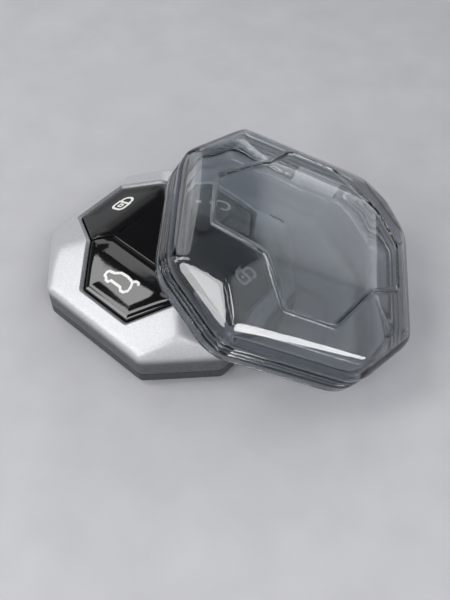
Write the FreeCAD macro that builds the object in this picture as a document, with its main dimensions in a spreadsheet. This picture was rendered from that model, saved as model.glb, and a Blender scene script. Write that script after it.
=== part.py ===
import FreeCAD
import Part
import Sketcher
import math
import os
import re

# A clear two-part cover lying across the octagonal key fob that it fits.
# Millimetres. The fob stands on z = 0 with its base centred on the origin, x to the right button
# and y to the top button. The cover is drawn closed round the fob and is then laid across it.

SIZES = {
    # Fob outline and facets
    "half_width": 30.0,
    "half_length": 27.8,
    "corner_cut": 13.8,
    "ring_edge_height": 11.4,
    "fob_height": 17.9,
    "crown_rise_share": 0.43,
    "facet_rise_share": 1.30,
    "edge_chamfer": 1.0,
    # Fob shells
    "parting_height": 4.4,
    "base_bevel": 1.9,
    "corner_soft": 0.3,
    "shell_wall": 1.6,
    "floor_thickness": 1.5,
    "ceiling_height": 11.0,
    # Button panel
    "panel_border_x": 3.5,
    "panel_border_y": 3.8,
    "panel_shift": 1.0,
    "lobe_half": 7.6,
    "notch_x": 15.1,
    "notch_y": 13.9,
    "plate_half_x": 11.0,
    "plate_half_y": 9.3,
    "panel_gap": 0.3,
    "panel_sink": 0.15,
    "button_round": 0.25,
    "waist_gap_share": 1.2,
    # Button mechanics
    "button_low": 10.0,
    "button_travel": 0.5,
    "flange_reach": 0.9,
    "flange_half": 5.5,
    "flange_thickness": 0.85,
    "plunger_radius": 1.5,
    "press_gap": 0.2,
    "plunger_inset": 7.0,
    "plate_top_wall": 1.5,
    "plate_side_wall": 1.4,
    "stem_radius": 1.2,
    "stem_inset": 2.4,
    # Boards and plates inside the fob
    "stack_gap": 3.2,
    "board_low": 5.9,
    "board_thickness": 1.0,
    "carrier_thickness": 1.0,
    "carrier_low": 7.8,
    "carrier_rim": 1.2,
    "seal_thickness": 0.4,
    "hole_clearance": 0.6,
    "switch_half": 1.8,
    "switch_body_height": 1.1,
    "switch_cap_radius": 1.0,
    "switch_height": 1.7,
    "antenna_half": 4.6,
    "antenna_height": 2.7,
    "antenna_window": 0.5,
    "chip_half": 3.2,
    "chip_height": 0.75,
    "chip_x": 12.0,
    "chip_y": 6.6,
    # Coin cell, its contacts and the quarter-turn door
    "cell_edge": 17.5,
    "cell_y": 0.0,
    "cell_radius": 10.0,
    "cell_height": 3.2,
    "cell_rim": 0.9,
    "cell_step": 0.4,
    "cell_clearance": 0.6,
    "contact_half": 2.5,
    "contact_length": 13.0,
    "contact_thickness": 0.4,
    "contact_gap": 0.05,
    "door_flange_radius": 12.0,
    "door_flange_thickness": 0.8,
    "door_boss_radius": 10.7,
    "door_lug_reach": 1.1,
    "door_lug_half": 2.0,
    "door_lug_thickness": 0.5,
    "door_clearance": 0.1,
    "coin_slot_length": 11.0,
    "coin_slot_width": 1.5,
    "coin_slot_depth": 0.4,
    # Case screws
    "screw_inset": 4.2,
    "screw_skew": 2.2,
    "screw_head_radius": 1.8,
    "screw_head_thickness": 1.1,
    "screw_head_sink": 0.3,
    "screw_radius": 1.0,
    "screw_tip_height": 9.0,
    "screw_slot_width": 0.5,
    "screw_slot_depth": 0.5,
    "boss_wall": 1.3,
    "standoff_wall": 1.95,
    "boss_gap": 0.1,
    "pilot_clearance": 0.05,
    # Gasket in the rim of the back shell
    "gasket_inset": 0.5,
    "gasket_width": 0.6,
    "gasket_depth": 0.6,
    # Pull-out key
    "key_x": 8.6,
    "key_low": 2.8,
    "blade_half": 3.2,
    "blade_thickness": 1.8,
    "blade_length": 35.0,
    "blade_tip": 2.2,
    "blade_groove_half": 0.8,
    "blade_groove_depth": 0.5,
    "tang_length": 3.4,
    "head_half": 6.4,
    "head_inset": 4.4,
    "head_thickness": 2.6,
    "tab_half": 4.4,
    "tab_reach": 5.2,
    "tab_round": 2.4,
    "eyelet_radius": 1.9,
    "eyelet_reach": 2.6,
    "key_clearance": 0.15,
    "tang_clearance": 0.05,
    "pin_radius": 0.8,
    "pin_inset": 2.5,
    "pin_clearance": 0.03,
    # Cover shells, closed round the fob
    "fit_clearance": 0.45,
    "crown_clearance": 0.35,
    "base_clearance": 0.15,
    "cover_wall": 1.5,
    "cover_crown_wall": 1.4,
    "cover_floor": 1.05,
    "cover_base_bevel": 3.2,
    "seam_height": 2.5,
    "rim_top_height": 10.45,
    "rim_bevel_share": 0.89,
    "tongue_height": 1.6,
    "tongue_thickness": 0.7,
    "tongue_clearance": 0.1,
    "groove_depth": 0.3,
    "groove_width": 0.5,
    "groove_spacing": 1.5,
    "groove_start": 2.2,
    "groove_count": 3,
    "bead_inset": 1.3,
    "bead_width": 0.9,
    "bead_height": 0.45,
    "tab_window": 0.5,
    # How the cover lies: leaning on a corner of the fob, with its far corner on the table
    "cover_lean_angle": 28.5,
    "cover_toward_angle": 22.9,
    "cover_spin_angle": 38.6,
    "cover_aside": 0.6,
    "table_gap": 0.1,
    "lean_gap": 0.15,
    # One overrun for all cuts
    "overrun": 2.0,
}

WORD = re.compile(r"[a-z][a-z_0-9]*")
OCTAGON_TURN = 45.0
FULL_TURN = 360.0
QUARTER_TURN = 90.0
TINY_SHARE = 1e-6


def cell(text):
    # Points each size named in an expression at its cell of the sheet.
    def point(found):
        word = found.group()
        return "Sizes." + word if word in SIZES else word
    return WORD.sub(point, text)


def fill_sheet(doc):
    sheet = doc.addObject("Spreadsheet::Sheet", "Sizes")
    for row, (alias, value) in enumerate(SIZES.items(), start=1):
        sheet.set("A%d" % row, alias)
        sheet.set("B%d" % row, str(value))
        sheet.setAlias("B%d" % row, alias)
    doc.recompute()
    return sheet


def origin_feature(body, role):
    return next(feature for feature in body.Origin.OriginFeatures if feature.Role == role)


def new_body(doc, label):
    body = doc.addObject("PartDesign::Body", label)
    body.Label = label
    return body


# Sketches

def new_sketch(body, name, plane="XY_Plane", height="0", turn=0.0):
    # The height is along the plane's normal; the turn is about the sketch's own upright axis.
    sketch = body.newObject("Sketcher::SketchObject", name)
    sketch.AttachmentSupport = (origin_feature(body, plane), [""])
    sketch.MapMode = "FlatFace"
    upright = FreeCAD.Vector(0, 1, 0)
    sketch.AttachmentOffset = FreeCAD.Placement(FreeCAD.Vector(0, 0, 0), FreeCAD.Rotation(upright, turn))
    sketch.setExpression("AttachmentOffset.Base.z", cell(height))
    return sketch


def bind(sketch, constraint, text):
    index = sketch.addConstraint(constraint)
    sketch.setExpression("Constraints[%d]" % index, cell(text))


def add_polygon(sketch, points):
    # Starts as a regular polygon on a unit circle; the sheet then pulls every corner into place.
    count = len(points)
    corners = []
    for index in range(count):
        angle = 2 * math.pi * index / count
        corners.append(FreeCAD.Vector(math.cos(angle), math.sin(angle), 0))
    first = None
    for index in range(count):
        edge = Part.LineSegment(corners[index], corners[(index + 1) % count])
        number = sketch.addGeometry(edge, False)
        first = number if first is None else first
    for index in range(count):
        following = first + (index + 1) % count
        sketch.addConstraint(Sketcher.Constraint("Coincident", first + index, 2, following, 1))
    for index, (across, along) in enumerate(points):
        corner = corners[index]
        bind(sketch, Sketcher.Constraint("DistanceX", -1, 1, first + index, 1, corner.x), across)
        bind(sketch, Sketcher.Constraint("DistanceY", -1, 1, first + index, 1, corner.y), along)


def add_circle(sketch, across, along, radius):
    upright = FreeCAD.Vector(0, 0, 1)
    number = sketch.addGeometry(Part.Circle(FreeCAD.Vector(1, 1, 0), upright, 1), False)
    bind(sketch, Sketcher.Constraint("DistanceX", -1, 1, number, 3, 1), across)
    bind(sketch, Sketcher.Constraint("DistanceY", -1, 1, number, 3, 1), along)
    bind(sketch, Sketcher.Constraint("Radius", number, 1), radius)


def octagon(half_x, half_y, cut):
    # Corners of a rectangle with its four corners cut off at 45 degrees.
    long_x = "(%s)" % half_x
    long_y = "(%s)" % half_y
    short_x = "(%s - (%s))" % (half_x, cut)
    short_y = "(%s - (%s))" % (half_y, cut)
    quarter = [(long_x, short_y), (short_x, long_y)]
    points = []
    points += quarter
    points += [("-" + x, y) for x, y in reversed(quarter)]
    points += [("-" + x, "-" + y) for x, y in quarter]
    points += [(x, "-" + y) for x, y in reversed(quarter)]
    return points


def grown_octagon(grow):
    # The fob's outline moved outward by the same distance on all eight sides.
    cut = "corner_cut + (%s) * (2 - sqrt(2))" % grow
    return octagon("half_width + %s" % grow, "half_length + %s" % grow, cut)


def rectangle(low_x, high_x, low_y, high_y):
    return [(low_x, low_y), (high_x, low_y), (high_x, high_y), (low_x, high_y)]


def panel_outline(inset):
    # Four lobes and four notches, moved inward by the inset.
    lobe_x = "(%s - (%s))" % (PANEL_X, inset)
    lobe_y = "(%s - (%s))" % (PANEL_Y, inset)
    half = "(lobe_half - (%s) / 2)" % inset
    notch_x = "(notch_x - (%s) / sqrt(2))" % inset
    notch_y = "(notch_y - (%s) / sqrt(2))" % inset
    quarter = [(lobe_x, half), (notch_x, notch_y), (half, lobe_y)]
    points = []
    points += quarter
    points += [("-" + x, y) for x, y in reversed(quarter)]
    points += [("-" + x, "-" + y) for x, y in quarter]
    points += [(x, "-" + y) for x, y in reversed(quarter)]
    return on_panel(points)


def on_panel(places):
    # The panel's middle stands a little above the fob's.
    return [(across, along + " + panel_shift") for across, along in places]


# Features

def pad(body, name, sketch, length, down=False):
    feature = body.newObject("PartDesign::Pad", name)
    feature.Profile = sketch
    feature.setExpression("Length", cell(length))
    feature.Reversed = down
    body.Tip = feature
    return feature


def pocket(body, name, sketch, length, up=False):
    feature = body.newObject("PartDesign::Pocket", name)
    feature.Profile = sketch
    feature.setExpression("Length", cell(length))
    feature.Reversed = up
    body.Tip = feature
    return feature


def slice_through(body, name, sketch):
    feature = body.newObject("PartDesign::Pocket", name)
    feature.Profile = sketch
    feature.Type = "ThroughAll"
    feature.SideType = "Symmetric"
    body.Tip = feature
    return feature


def mirrored(body, name, original, plane):
    feature = body.newObject("PartDesign::Mirrored", name)
    feature.Originals = [original]
    feature.MirrorPlane = (origin_feature(body, plane), [""])
    body.Tip = feature
    return feature


def four_round(body, name, original):
    feature = body.newObject("PartDesign::PolarPattern", name)
    feature.Originals = [original]
    feature.Axis = (origin_feature(body, "Z_Axis"), [""])
    feature.Angle = FULL_TURN
    feature.Occurrences = 4
    body.Tip = feature
    return feature


def revolved(body, name, points):
    sketch = new_sketch(body, name + "Profile", "XZ_Plane")
    add_polygon(sketch, points)
    feature = body.newObject("PartDesign::Revolution", name)
    feature.Profile = sketch
    feature.ReferenceAxis = (sketch, ["V_Axis"])
    feature.Angle = FULL_TURN
    body.Tip = feature
    return feature


def is_upright(edge):
    run = edge.Vertexes[-1].Point - edge.Vertexes[0].Point
    return abs(run.z) > 0 and abs(run.x) + abs(run.y) < abs(run.z) * TINY_SHARE


def round_upright_edges(body, name, base, radius):
    body.Document.recompute()
    edges = base.Shape.Edges
    names = ["Edge%d" % (index + 1) for index, edge in enumerate(edges) if is_upright(edge)]
    feature = body.newObject("PartDesign::Fillet", name)
    feature.Base = (base, names)
    feature.setExpression("Radius", cell(radius))
    body.Tip = feature
    return feature


def chamfer_lowest_edges(body, name, base, size):
    body.Document.recompute()
    lowest = base.Shape.BoundBox.ZMin
    level = base.Shape.BoundBox.ZLength * TINY_SHARE
    names = []
    for index, edge in enumerate(base.Shape.Edges):
        if edge.BoundBox.ZMax - lowest < level:
            names.append("Edge%d" % (index + 1))
    feature = body.newObject("PartDesign::Chamfer", name)
    feature.Base = (base, names)
    feature.setExpression("Size", cell(size))
    body.Tip = feature
    return feature


def slope_sketch(body, name, plane, reach, height, rise, top, turn=0.0):
    # A triangle over the sloping line that climbs inward from (reach, height) by the rise.
    sketch = new_sketch(body, name, plane, "0", turn)
    outer = "(%s) + overrun" % reach
    outer_height = "(%s) - (%s) * overrun" % (height, rise)
    upper = "(%s) + overrun" % top
    inner = "(%s) - ((%s) + overrun - (%s)) / (%s)" % (reach, top, height, rise)
    add_polygon(sketch, [(outer, outer_height), (outer, upper), (inner, upper)])
    return sketch


def cut_slopes(body, name, reach_x, reach_y, height, rise, top):
    # The four main slopes: one cut across x and one across y, each mirrored.
    runs = (("X", "XZ_Plane", "YZ_Plane", reach_x), ("Y", "YZ_Plane", "XZ_Plane", reach_y))
    for letter, plane, mirror, reach in runs:
        sketch = slope_sketch(body, name + letter + "Line", plane, reach, height, rise, top)
        cut = slice_through(body, name + letter, sketch)
        mirrored(body, name + letter + "Mirror", cut, mirror)


def cut_corner_facets(body, name, reach, height, rise, top):
    sketch = slope_sketch(body, name + "Line", "XZ_Plane", reach, height, rise, top, OCTAGON_TURN)
    cut = slice_through(body, name, sketch)
    four_round(body, name + "Pattern", cut)


# A corner is always rounder than the bevel that runs round its foot.
FOB_ROUND = "(base_bevel + corner_soft)"
COVER_ROUND = "(cover_base_bevel + corner_soft)"
DIAGONAL_REACH = "(half_width + half_length - corner_cut) / sqrt(2)"


def cut_crown(body, lift, top):
    # The fob's crown: four gentle main slopes and four steep facets over the cut corners.
    height = "ring_edge_height + %s" % lift
    cut_slopes(body, "Crown", "half_width", "half_length", height, "crown_rise_share", top)
    cut_corner_facets(body, "Facet", DIAGONAL_REACH, height, "facet_rise_share", top)


def boolean(doc, kind, label, base, tool):
    feature = doc.addObject("Part::" + kind, label)
    feature.Base = base
    feature.Tool = tool
    feature.Label = label
    return feature


def box(doc, label, size, corner):
    feature = doc.addObject("Part::Box", label)
    feature.Label = label
    for name, text in zip(("Length", "Width", "Height"), size):
        feature.setExpression(name, cell(text))
    for name, text in zip("xyz", corner):
        feature.setExpression("Placement.Base." + name, cell(text))
    return feature


# Where things stand in the fob

PANEL_X = "(half_width - panel_border_x)"
PANEL_Y = "(half_length - panel_border_y)"
STACK_INSET = "(shell_wall + stack_gap)"
CORNER_MIDDLE = "(half_width + half_length - corner_cut) / 2"
SCREW_X = "(%s - screw_inset + screw_skew)" % CORNER_MIDDLE
SCREW_Y = "(%s - screw_inset - screw_skew)" % CORNER_MIDDLE
CELL_X = "(cell_edge - half_width)"
BOARD_TOP = "(board_low + board_thickness)"
CARRIER_TOP = "(carrier_low + carrier_thickness)"
LUG_LOW = "(floor_thickness + door_clearance)"
LUG_TOP = "(floor_thickness + door_clearance + door_lug_thickness)"
CELL_LOW = "(board_low - contact_thickness - cell_height)"
HEAD_LOW = "(key_low + blade_thickness / 2 - head_thickness / 2)"
HEAD_TOP = "(key_low + blade_thickness / 2 + head_thickness / 2)"
HEAD_INNER = "(half_length - head_inset)"
# A plunger stops just short of its switch, and meets it at the end of its travel.
PLUNGER_FOOT = "(%s + switch_height + button_travel + press_gap)" % BOARD_TOP
BOSS_RADIUS = "(screw_radius + boss_wall)"
STANDOFF_RADIUS = "(screw_radius + standoff_wall)"
PLUNGER_X = "(%s - plunger_inset)" % PANEL_X
PLUNGER_Y = "(%s - plunger_inset)" % PANEL_Y
PLUNGER_CROSS = [(PLUNGER_X, "0"), ("-" + PLUNGER_X, "0"), ("0", PLUNGER_Y), ("0", "-" + PLUNGER_Y)]
PLUNGER_PLACES = on_panel(PLUNGER_CROSS)


def four_places(across, along):
    return [(across, along), ("-" + across, along), ("-" + across, "-" + along), (across, "-" + along)]


SCREW_PLACES = four_places(SCREW_X, SCREW_Y)
STEM_PLACES = four_places("(plate_half_x - stem_inset)", "(plate_half_y - stem_inset)")


def head_window(clearance):
    # The key head's section through the top wall, in x and z.
    side = "(head_half + %s)" % clearance
    low = HEAD_LOW + " - " + clearance
    high = HEAD_TOP + " + " + clearance
    return rectangle("key_x - " + side, "key_x + " + side, low, high)


# Fob shells

def make_front_shell(doc):
    body = new_body(doc, "fob_front_shell")
    sketch = new_sketch(body, "FrontOutline", height="parting_height")
    add_polygon(sketch, grown_octagon("0"))
    block = pad(body, "FrontBlock", sketch, "fob_height - parting_height")
    round_upright_edges(body, "FrontCorners", block, FOB_ROUND)
    cut_crown(body, "0", "fob_height")
    edge_height = "ring_edge_height - edge_chamfer"
    edge_rise = "(1 + crown_rise_share)"
    cut_slopes(body, "Edge", "half_width", "half_length", edge_height, edge_rise, "fob_height")

    sketch = new_sketch(body, "FrontInside", height="ceiling_height")
    add_polygon(sketch, grown_octagon("-shell_wall"))
    pocket(body, "FrontHollow", sketch, "ceiling_height - parting_height")

    sketch = new_sketch(body, "PanelOutline", height="fob_height")
    add_polygon(sketch, panel_outline("0"))
    pocket(body, "PanelOpening", sketch, "fob_height - ceiling_height")

    sketch = new_sketch(body, "BossCircles", height="ceiling_height")
    for across, along in SCREW_PLACES:
        add_circle(sketch, across, along, BOSS_RADIUS)
    pad(body, "Bosses", sketch, "ceiling_height - parting_height - boss_gap", down=True)

    sketch = new_sketch(body, "PilotCircles", height="screw_tip_height + boss_wall")
    for across, along in SCREW_PLACES:
        add_circle(sketch, across, along, "screw_radius + pilot_clearance")
    pocket(body, "PilotHoles", sketch, "screw_tip_height + boss_wall - parting_height")

    sketch = new_sketch(body, "HeadWindow", "XZ_Plane")
    add_polygon(sketch, head_window("key_clearance"))
    pocket(body, "HeadOpening", sketch, "half_length + overrun")
    return body


def make_back_shell(doc):
    body = new_body(doc, "fob_back_shell")
    sketch = new_sketch(body, "BackOutline")
    add_polygon(sketch, grown_octagon("0"))
    block = pad(body, "BackBlock", sketch, "parting_height")
    rounded = round_upright_edges(body, "BackCorners", block, FOB_ROUND)
    chamfer_lowest_edges(body, "BackBevel", rounded, "base_bevel")

    sketch = new_sketch(body, "BackInside", height="parting_height")
    add_polygon(sketch, grown_octagon("-shell_wall"))
    pocket(body, "BackHollow", sketch, "parting_height - floor_thickness")

    sketch = new_sketch(body, "StandoffCircles", height="floor_thickness")
    for across, along in SCREW_PLACES:
        add_circle(sketch, across, along, STANDOFF_RADIUS)
    pad(body, "Standoffs", sketch, "parting_height - floor_thickness")

    sketch = new_sketch(body, "ShankCircles", height="parting_height")
    for across, along in SCREW_PLACES:
        add_circle(sketch, across, along, "screw_radius + pilot_clearance")
    pocket(body, "ShankHoles", sketch, "parting_height")

    sketch = new_sketch(body, "HeadCircles")
    for across, along in SCREW_PLACES:
        add_circle(sketch, across, along, "screw_head_radius + pilot_clearance")
    pocket(body, "HeadSinks", sketch, "screw_head_sink + screw_head_thickness", up=True)

    sketch = new_sketch(body, "DoorSeatCircle")
    add_circle(sketch, CELL_X, "cell_y", "door_flange_radius + door_clearance")
    pocket(body, "DoorSeat", sketch, "door_flange_thickness + door_clearance", up=True)

    sketch = new_sketch(body, "DoorHoleCircle")
    add_circle(sketch, CELL_X, "cell_y", "door_boss_radius + door_clearance")
    pocket(body, "DoorHole", sketch, "floor_thickness + overrun", up=True)

    # Two keyways let the door's lugs through after a quarter turn.
    sketch = new_sketch(body, "KeywayOutline")
    side = "(door_lug_half + door_clearance)"
    reach = "(door_boss_radius + door_lug_reach + door_clearance)"
    low_y = "cell_y - " + reach
    high_y = "cell_y + " + reach
    add_polygon(sketch, rectangle(CELL_X + " - " + side, CELL_X + " + " + side, low_y, high_y))
    pocket(body, "Keyways", sketch, "floor_thickness + overrun", up=True)

    sketch = new_sketch(body, "GasketTrack", height="parting_height")
    add_polygon(sketch, grown_octagon("-gasket_inset"))
    add_polygon(sketch, grown_octagon("-(gasket_inset + gasket_width)"))
    pocket(body, "GasketGroove", sketch, "gasket_depth")

    sketch = new_sketch(body, "HeadWindow", "XZ_Plane")
    add_polygon(sketch, head_window("key_clearance"))
    pocket(body, "HeadOpening", sketch, "half_length + overrun")
    return body


def make_gasket(doc):
    # A ring with a gap where the key head passes.
    body = new_body(doc, "shell_gasket")
    sketch = new_sketch(body, "GasketOutline", height="parting_height")
    add_polygon(sketch, grown_octagon("-(gasket_inset + pin_clearance)"))
    add_polygon(sketch, grown_octagon("-(gasket_inset + gasket_width - pin_clearance)"))
    pad(body, "GasketRing", sketch, "gasket_depth", down=True)
    sketch = new_sketch(body, "GasketGap", "XZ_Plane")
    add_polygon(sketch, head_window("key_clearance * 2"))
    pocket(body, "GasketOpening", sketch, "half_length + overrun")
    return body


# Buttons and the plate between them, each button drawn pointing along x and then turned

def make_button(doc, label, sizes, angle):
    edge, reach, notch_along, notch_across, plate_along, plate_across = sizes
    body = new_body(doc, label)
    tip = "(%s - panel_gap)" % reach
    tip_half = "(lobe_half - panel_gap)"
    waist = "(%s - panel_gap * waist_gap_share)" % notch_across
    heel = "(%s + panel_gap)" % plate_along
    side = [(tip, tip_half), (notch_along, waist), (heel, plate_across)]
    points = side + [(x, "-" + y) for x, y in reversed(side)]
    sketch = new_sketch(body, "CapOutline", height="button_low")
    add_polygon(sketch, points)
    cap = pad(body, "Cap", sketch, "fob_height - panel_sink - button_low")
    round_upright_edges(body, "CapCorners", cap, "button_round")
    height = "ring_edge_height - panel_sink"
    line = slope_sketch(body, "CapLine", "XZ_Plane", edge, height, "crown_rise_share", "fob_height")
    slice_through(body, "CapSlope", line)

    sketch = new_sketch(body, "FlangeOutline", height="button_low")
    add_polygon(sketch, rectangle(heel, "%s + flange_reach" % reach, "-flange_half", "flange_half"))
    pad(body, "Flange", sketch, "flange_thickness")
    sketch = new_sketch(body, "PlungerCircle", height="button_low")
    add_circle(sketch, "%s - plunger_inset" % reach, "0", "plunger_radius")
    pad(body, "Plunger", sketch, "button_low - " + PLUNGER_FOOT, down=True)
    body.Placement.Rotation = FreeCAD.Rotation(FreeCAD.Vector(0, 0, 1), angle)
    body.setExpression("Placement.Base.y", cell("panel_shift"))
    return body


# Each button's outer edge of the fob and its own sizes, both from the panel's middle.
SIDE_SIZES = (PANEL_X, "notch_x", "notch_y", "plate_half_x", "plate_half_y")
END_SIZES = (PANEL_Y, "notch_y", "notch_x", "plate_half_y", "plate_half_x")
BUTTONS = {
    "button_unlock": ("half_width",) + SIDE_SIZES,
    "button_start": ("half_length - panel_shift",) + END_SIZES,
    "button_lock": ("half_width",) + SIDE_SIZES,
    "button_tailgate": ("half_length + panel_shift",) + END_SIZES,
}


def make_buttons(doc):
    buttons = []
    for index, (name, sizes) in enumerate(BUTTONS.items()):
        buttons.append(make_button(doc, name, sizes, QUARTER_TURN * index))
    return buttons


def make_centre_plate(doc):
    body = new_body(doc, "centre_plate")
    sketch = new_sketch(body, "PlateOutline", height="button_low")
    add_polygon(sketch, rectangle("-plate_half_x", "plate_half_x", "-plate_half_y", "plate_half_y"))
    pad(body, "PlateBlock", sketch, "fob_height - panel_sink - button_low")
    sketch = new_sketch(body, "PlateInside", height="fob_height - panel_sink - plate_top_wall")
    inside_x = "(plate_half_x - plate_side_wall)"
    inside_y = "(plate_half_y - plate_side_wall)"
    add_polygon(sketch, rectangle("-" + inside_x, inside_x, "-" + inside_y, inside_y))
    pocket(body, "PlateHollow", sketch, "fob_height - panel_sink - plate_top_wall - button_low")
    sketch = new_sketch(body, "StemCircles", height="fob_height - panel_sink - plate_top_wall")
    for across, along in STEM_PLACES:
        add_circle(sketch, across, along, "stem_radius")
    pad(body, "Stems", sketch, "fob_height - panel_sink - plate_top_wall - " + CARRIER_TOP, down=True)
    body.setExpression("Placement.Base.y", cell("panel_shift"))
    return body


# Boards and plates inside

def stack_plate(doc, label, low, thickness, inset="0"):
    # An octagonal plate with a round notch for each standoff.
    body = new_body(doc, label)
    sketch = new_sketch(body, "StackOutline", height=low)
    add_polygon(sketch, grown_octagon("-(%s + %s)" % (STACK_INSET, inset)))
    pad(body, "StackBlock", sketch, thickness)
    sketch = new_sketch(body, "NotchCircles", height=low)
    for across, along in SCREW_PLACES:
        add_circle(sketch, across, along, STANDOFF_RADIUS + " + hole_clearance")
    pocket(body, "Notches", sketch, thickness, up=True)
    return body


def antenna_window(sketch):
    side = "(antenna_half + antenna_window)"
    add_polygon(sketch, rectangle("-" + side, side, "-" + side, side))


def make_inner_frame(doc):
    body = stack_plate(doc, "inner_frame", "floor_thickness", "board_low - floor_thickness")
    sketch = new_sketch(body, "CellCircle", height="board_low")
    add_circle(sketch, CELL_X, "cell_y", "cell_radius + cell_clearance")
    pocket(body, "CellHole", sketch, "board_low - floor_thickness")
    sketch = new_sketch(body, "LugCircle", height=LUG_TOP + " + door_clearance * 2")
    add_circle(sketch, CELL_X, "cell_y", "door_boss_radius + door_lug_reach + door_clearance * 2")
    pocket(body, "LugRecess", sketch, LUG_TOP + " + door_clearance * 2 - floor_thickness")
    # The tunnel runs from the top side down to just past the blade's tip.
    sketch = new_sketch(body, "TunnelSection", "XZ_Plane", "-half_length")
    side = "(blade_half + key_clearance)"
    low = "key_low - key_clearance"
    high = "key_low + blade_thickness + key_clearance"
    add_polygon(sketch, rectangle("key_x - " + side, "key_x + " + side, low, high))
    pocket(body, "Tunnel", sketch, "head_inset + blade_length + key_clearance * 2", up=True)
    return body


def make_circuit_board(doc):
    return stack_plate(doc, "circuit_board", "board_low", "board_thickness", "panel_gap")


def make_carrier(doc):
    body = stack_plate(doc, "button_carrier", BOARD_TOP, CARRIER_TOP + " - " + BOARD_TOP, "panel_gap")
    sketch = new_sketch(body, "CarrierInside", height="carrier_low")
    add_polygon(sketch, grown_octagon("-(%s + panel_gap + carrier_rim)" % STACK_INSET))
    pocket(body, "CarrierHollow", sketch, "carrier_low - " + BOARD_TOP)
    sketch = new_sketch(body, "SwitchWindows", height=CARRIER_TOP)
    for across, along in PLUNGER_PLACES:
        add_circle(sketch, across, along, "switch_half * sqrt(2) + hole_clearance / 2")
    antenna_window(sketch)
    pocket(body, "CarrierWindows", sketch, "carrier_thickness")
    return body


def make_seal(doc):
    body = stack_plate(doc, "keypad_seal", CARRIER_TOP, "seal_thickness", "panel_gap * 2")
    sketch = new_sketch(body, "SealHoles", height=CARRIER_TOP + " + seal_thickness")
    for across, along in PLUNGER_PLACES:
        add_circle(sketch, across, along, "plunger_radius + hole_clearance")
    for across, along in on_panel(STEM_PLACES):
        add_circle(sketch, across, along, "stem_radius + hole_clearance / 2")
    antenna_window(sketch)
    pocket(body, "SealOpenings", sketch, "seal_thickness")
    return body


def make_switch(doc, label, across, along):
    body = new_body(doc, label)
    sketch = new_sketch(body, "SwitchOutline", height=BOARD_TOP)
    add_polygon(sketch, rectangle("-switch_half", "switch_half", "-switch_half", "switch_half"))
    pad(body, "SwitchBody", sketch, "switch_body_height")
    sketch = new_sketch(body, "SwitchCircle", height=BOARD_TOP)
    add_circle(sketch, "0", "0", "switch_cap_radius")
    pad(body, "SwitchCap", sketch, "switch_height")
    body.setExpression("Placement.Base.x", cell(across))
    body.setExpression("Placement.Base.y", cell(along))
    return body


def make_board_parts(doc):
    names = ("switch_unlock", "switch_lock", "switch_start", "switch_tailgate")
    parts = [make_switch(doc, name, *place) for name, place in zip(names, PLUNGER_PLACES)]
    size = ("2 * antenna_half", "2 * antenna_half", "antenna_height")
    corner = ("-antenna_half", "-antenna_half", BOARD_TOP)
    parts.append(box(doc, "antenna_coil", size, corner))
    size = ("2 * chip_half", "2 * chip_half", "chip_height")
    corner = ("chip_x - chip_half", "chip_y - chip_half", BOARD_TOP)
    parts.append(box(doc, "controller_chip", size, corner))
    return parts


# Coin cell and door

def at_cell(body):
    body.setExpression("Placement.Base.x", cell(CELL_X))
    body.setExpression("Placement.Base.y", cell("cell_y"))
    return body


def make_coin_cell(doc):
    body = new_body(doc, "coin_cell")
    top = CELL_LOW + " + cell_height"
    shoulder = CELL_LOW + " + cell_step"
    neck = "cell_radius - cell_rim"
    points = [("0", CELL_LOW), (neck, CELL_LOW), (neck, shoulder)]
    points += [("cell_radius", shoulder), ("cell_radius", top), ("0", top)]
    revolved(body, "CellCan", points)
    return at_cell(body)


def make_contacts(doc):
    size = ("contact_length", "2 * contact_half", "contact_thickness")
    corner = (CELL_X + " - contact_length / 2", "cell_y - contact_half", "board_low - contact_thickness")
    upper = box(doc, "contact_positive", size, corner)
    foot = CELL_LOW + " + cell_step + contact_thickness"
    size = ("contact_half", "contact_thickness", "board_low - (%s)" % foot)
    corner = (CELL_X + " - contact_half / 2", "cell_y + cell_radius + contact_gap", foot)
    side = box(doc, "contact_negative", size, corner)
    return [upper, side]


def make_battery_door(doc):
    body = new_body(doc, "battery_door")
    edge = "door_flange_radius"
    boss = "door_boss_radius"
    step = "door_flange_thickness"
    points = [("0", "0"), (edge, "0"), (edge, step), (boss, step), (boss, LUG_TOP), ("0", LUG_TOP)]
    revolved(body, "DoorDisc", points)
    sketch = new_sketch(body, "LugOutline", height=LUG_LOW)
    reach = "(door_boss_radius + door_lug_reach)"
    add_polygon(sketch, rectangle("-" + reach, reach, "-door_lug_half", "door_lug_half"))
    pad(body, "Lugs", sketch, "door_lug_thickness")
    sketch = new_sketch(body, "CoinSlotOutline")
    length = "(coin_slot_length / 2)"
    width = "(coin_slot_width / 2)"
    add_polygon(sketch, rectangle("-" + length, length, "-" + width, width))
    pocket(body, "CoinSlot", sketch, "coin_slot_depth", up=True)
    return at_cell(body)


# Screws

def make_screw(doc, label, across, along):
    body = new_body(doc, label)
    low = "screw_head_sink"
    neck = "screw_head_sink + screw_head_thickness"
    head = "screw_head_radius"
    shank = "screw_radius"
    tip = "screw_tip_height"
    points = [("0", low), (head, low), (head, neck), (shank, neck), (shank, tip), ("0", tip)]
    revolved(body, "ScrewShape", points)
    sketch = new_sketch(body, "SlotOutline", height=low)
    half = "(screw_slot_width / 2)"
    add_polygon(sketch, rectangle("-screw_head_radius", "screw_head_radius", "-" + half, half))
    pocket(body, "DriveSlot", sketch, "screw_slot_depth", up=True)
    body.setExpression("Placement.Base.x", cell(across))
    body.setExpression("Placement.Base.y", cell(along))
    return body


def make_screws(doc):
    screws = []
    for number, place in enumerate(SCREW_PLACES, start=1):
        screws.append(make_screw(doc, "case_screw_%d" % number, *place))
    return screws


# Pull-out key, drawn on the line x = 0 and then moved to its channel

def at_key(body):
    body.setExpression("Placement.Base.x", cell("key_x"))
    return body


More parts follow.
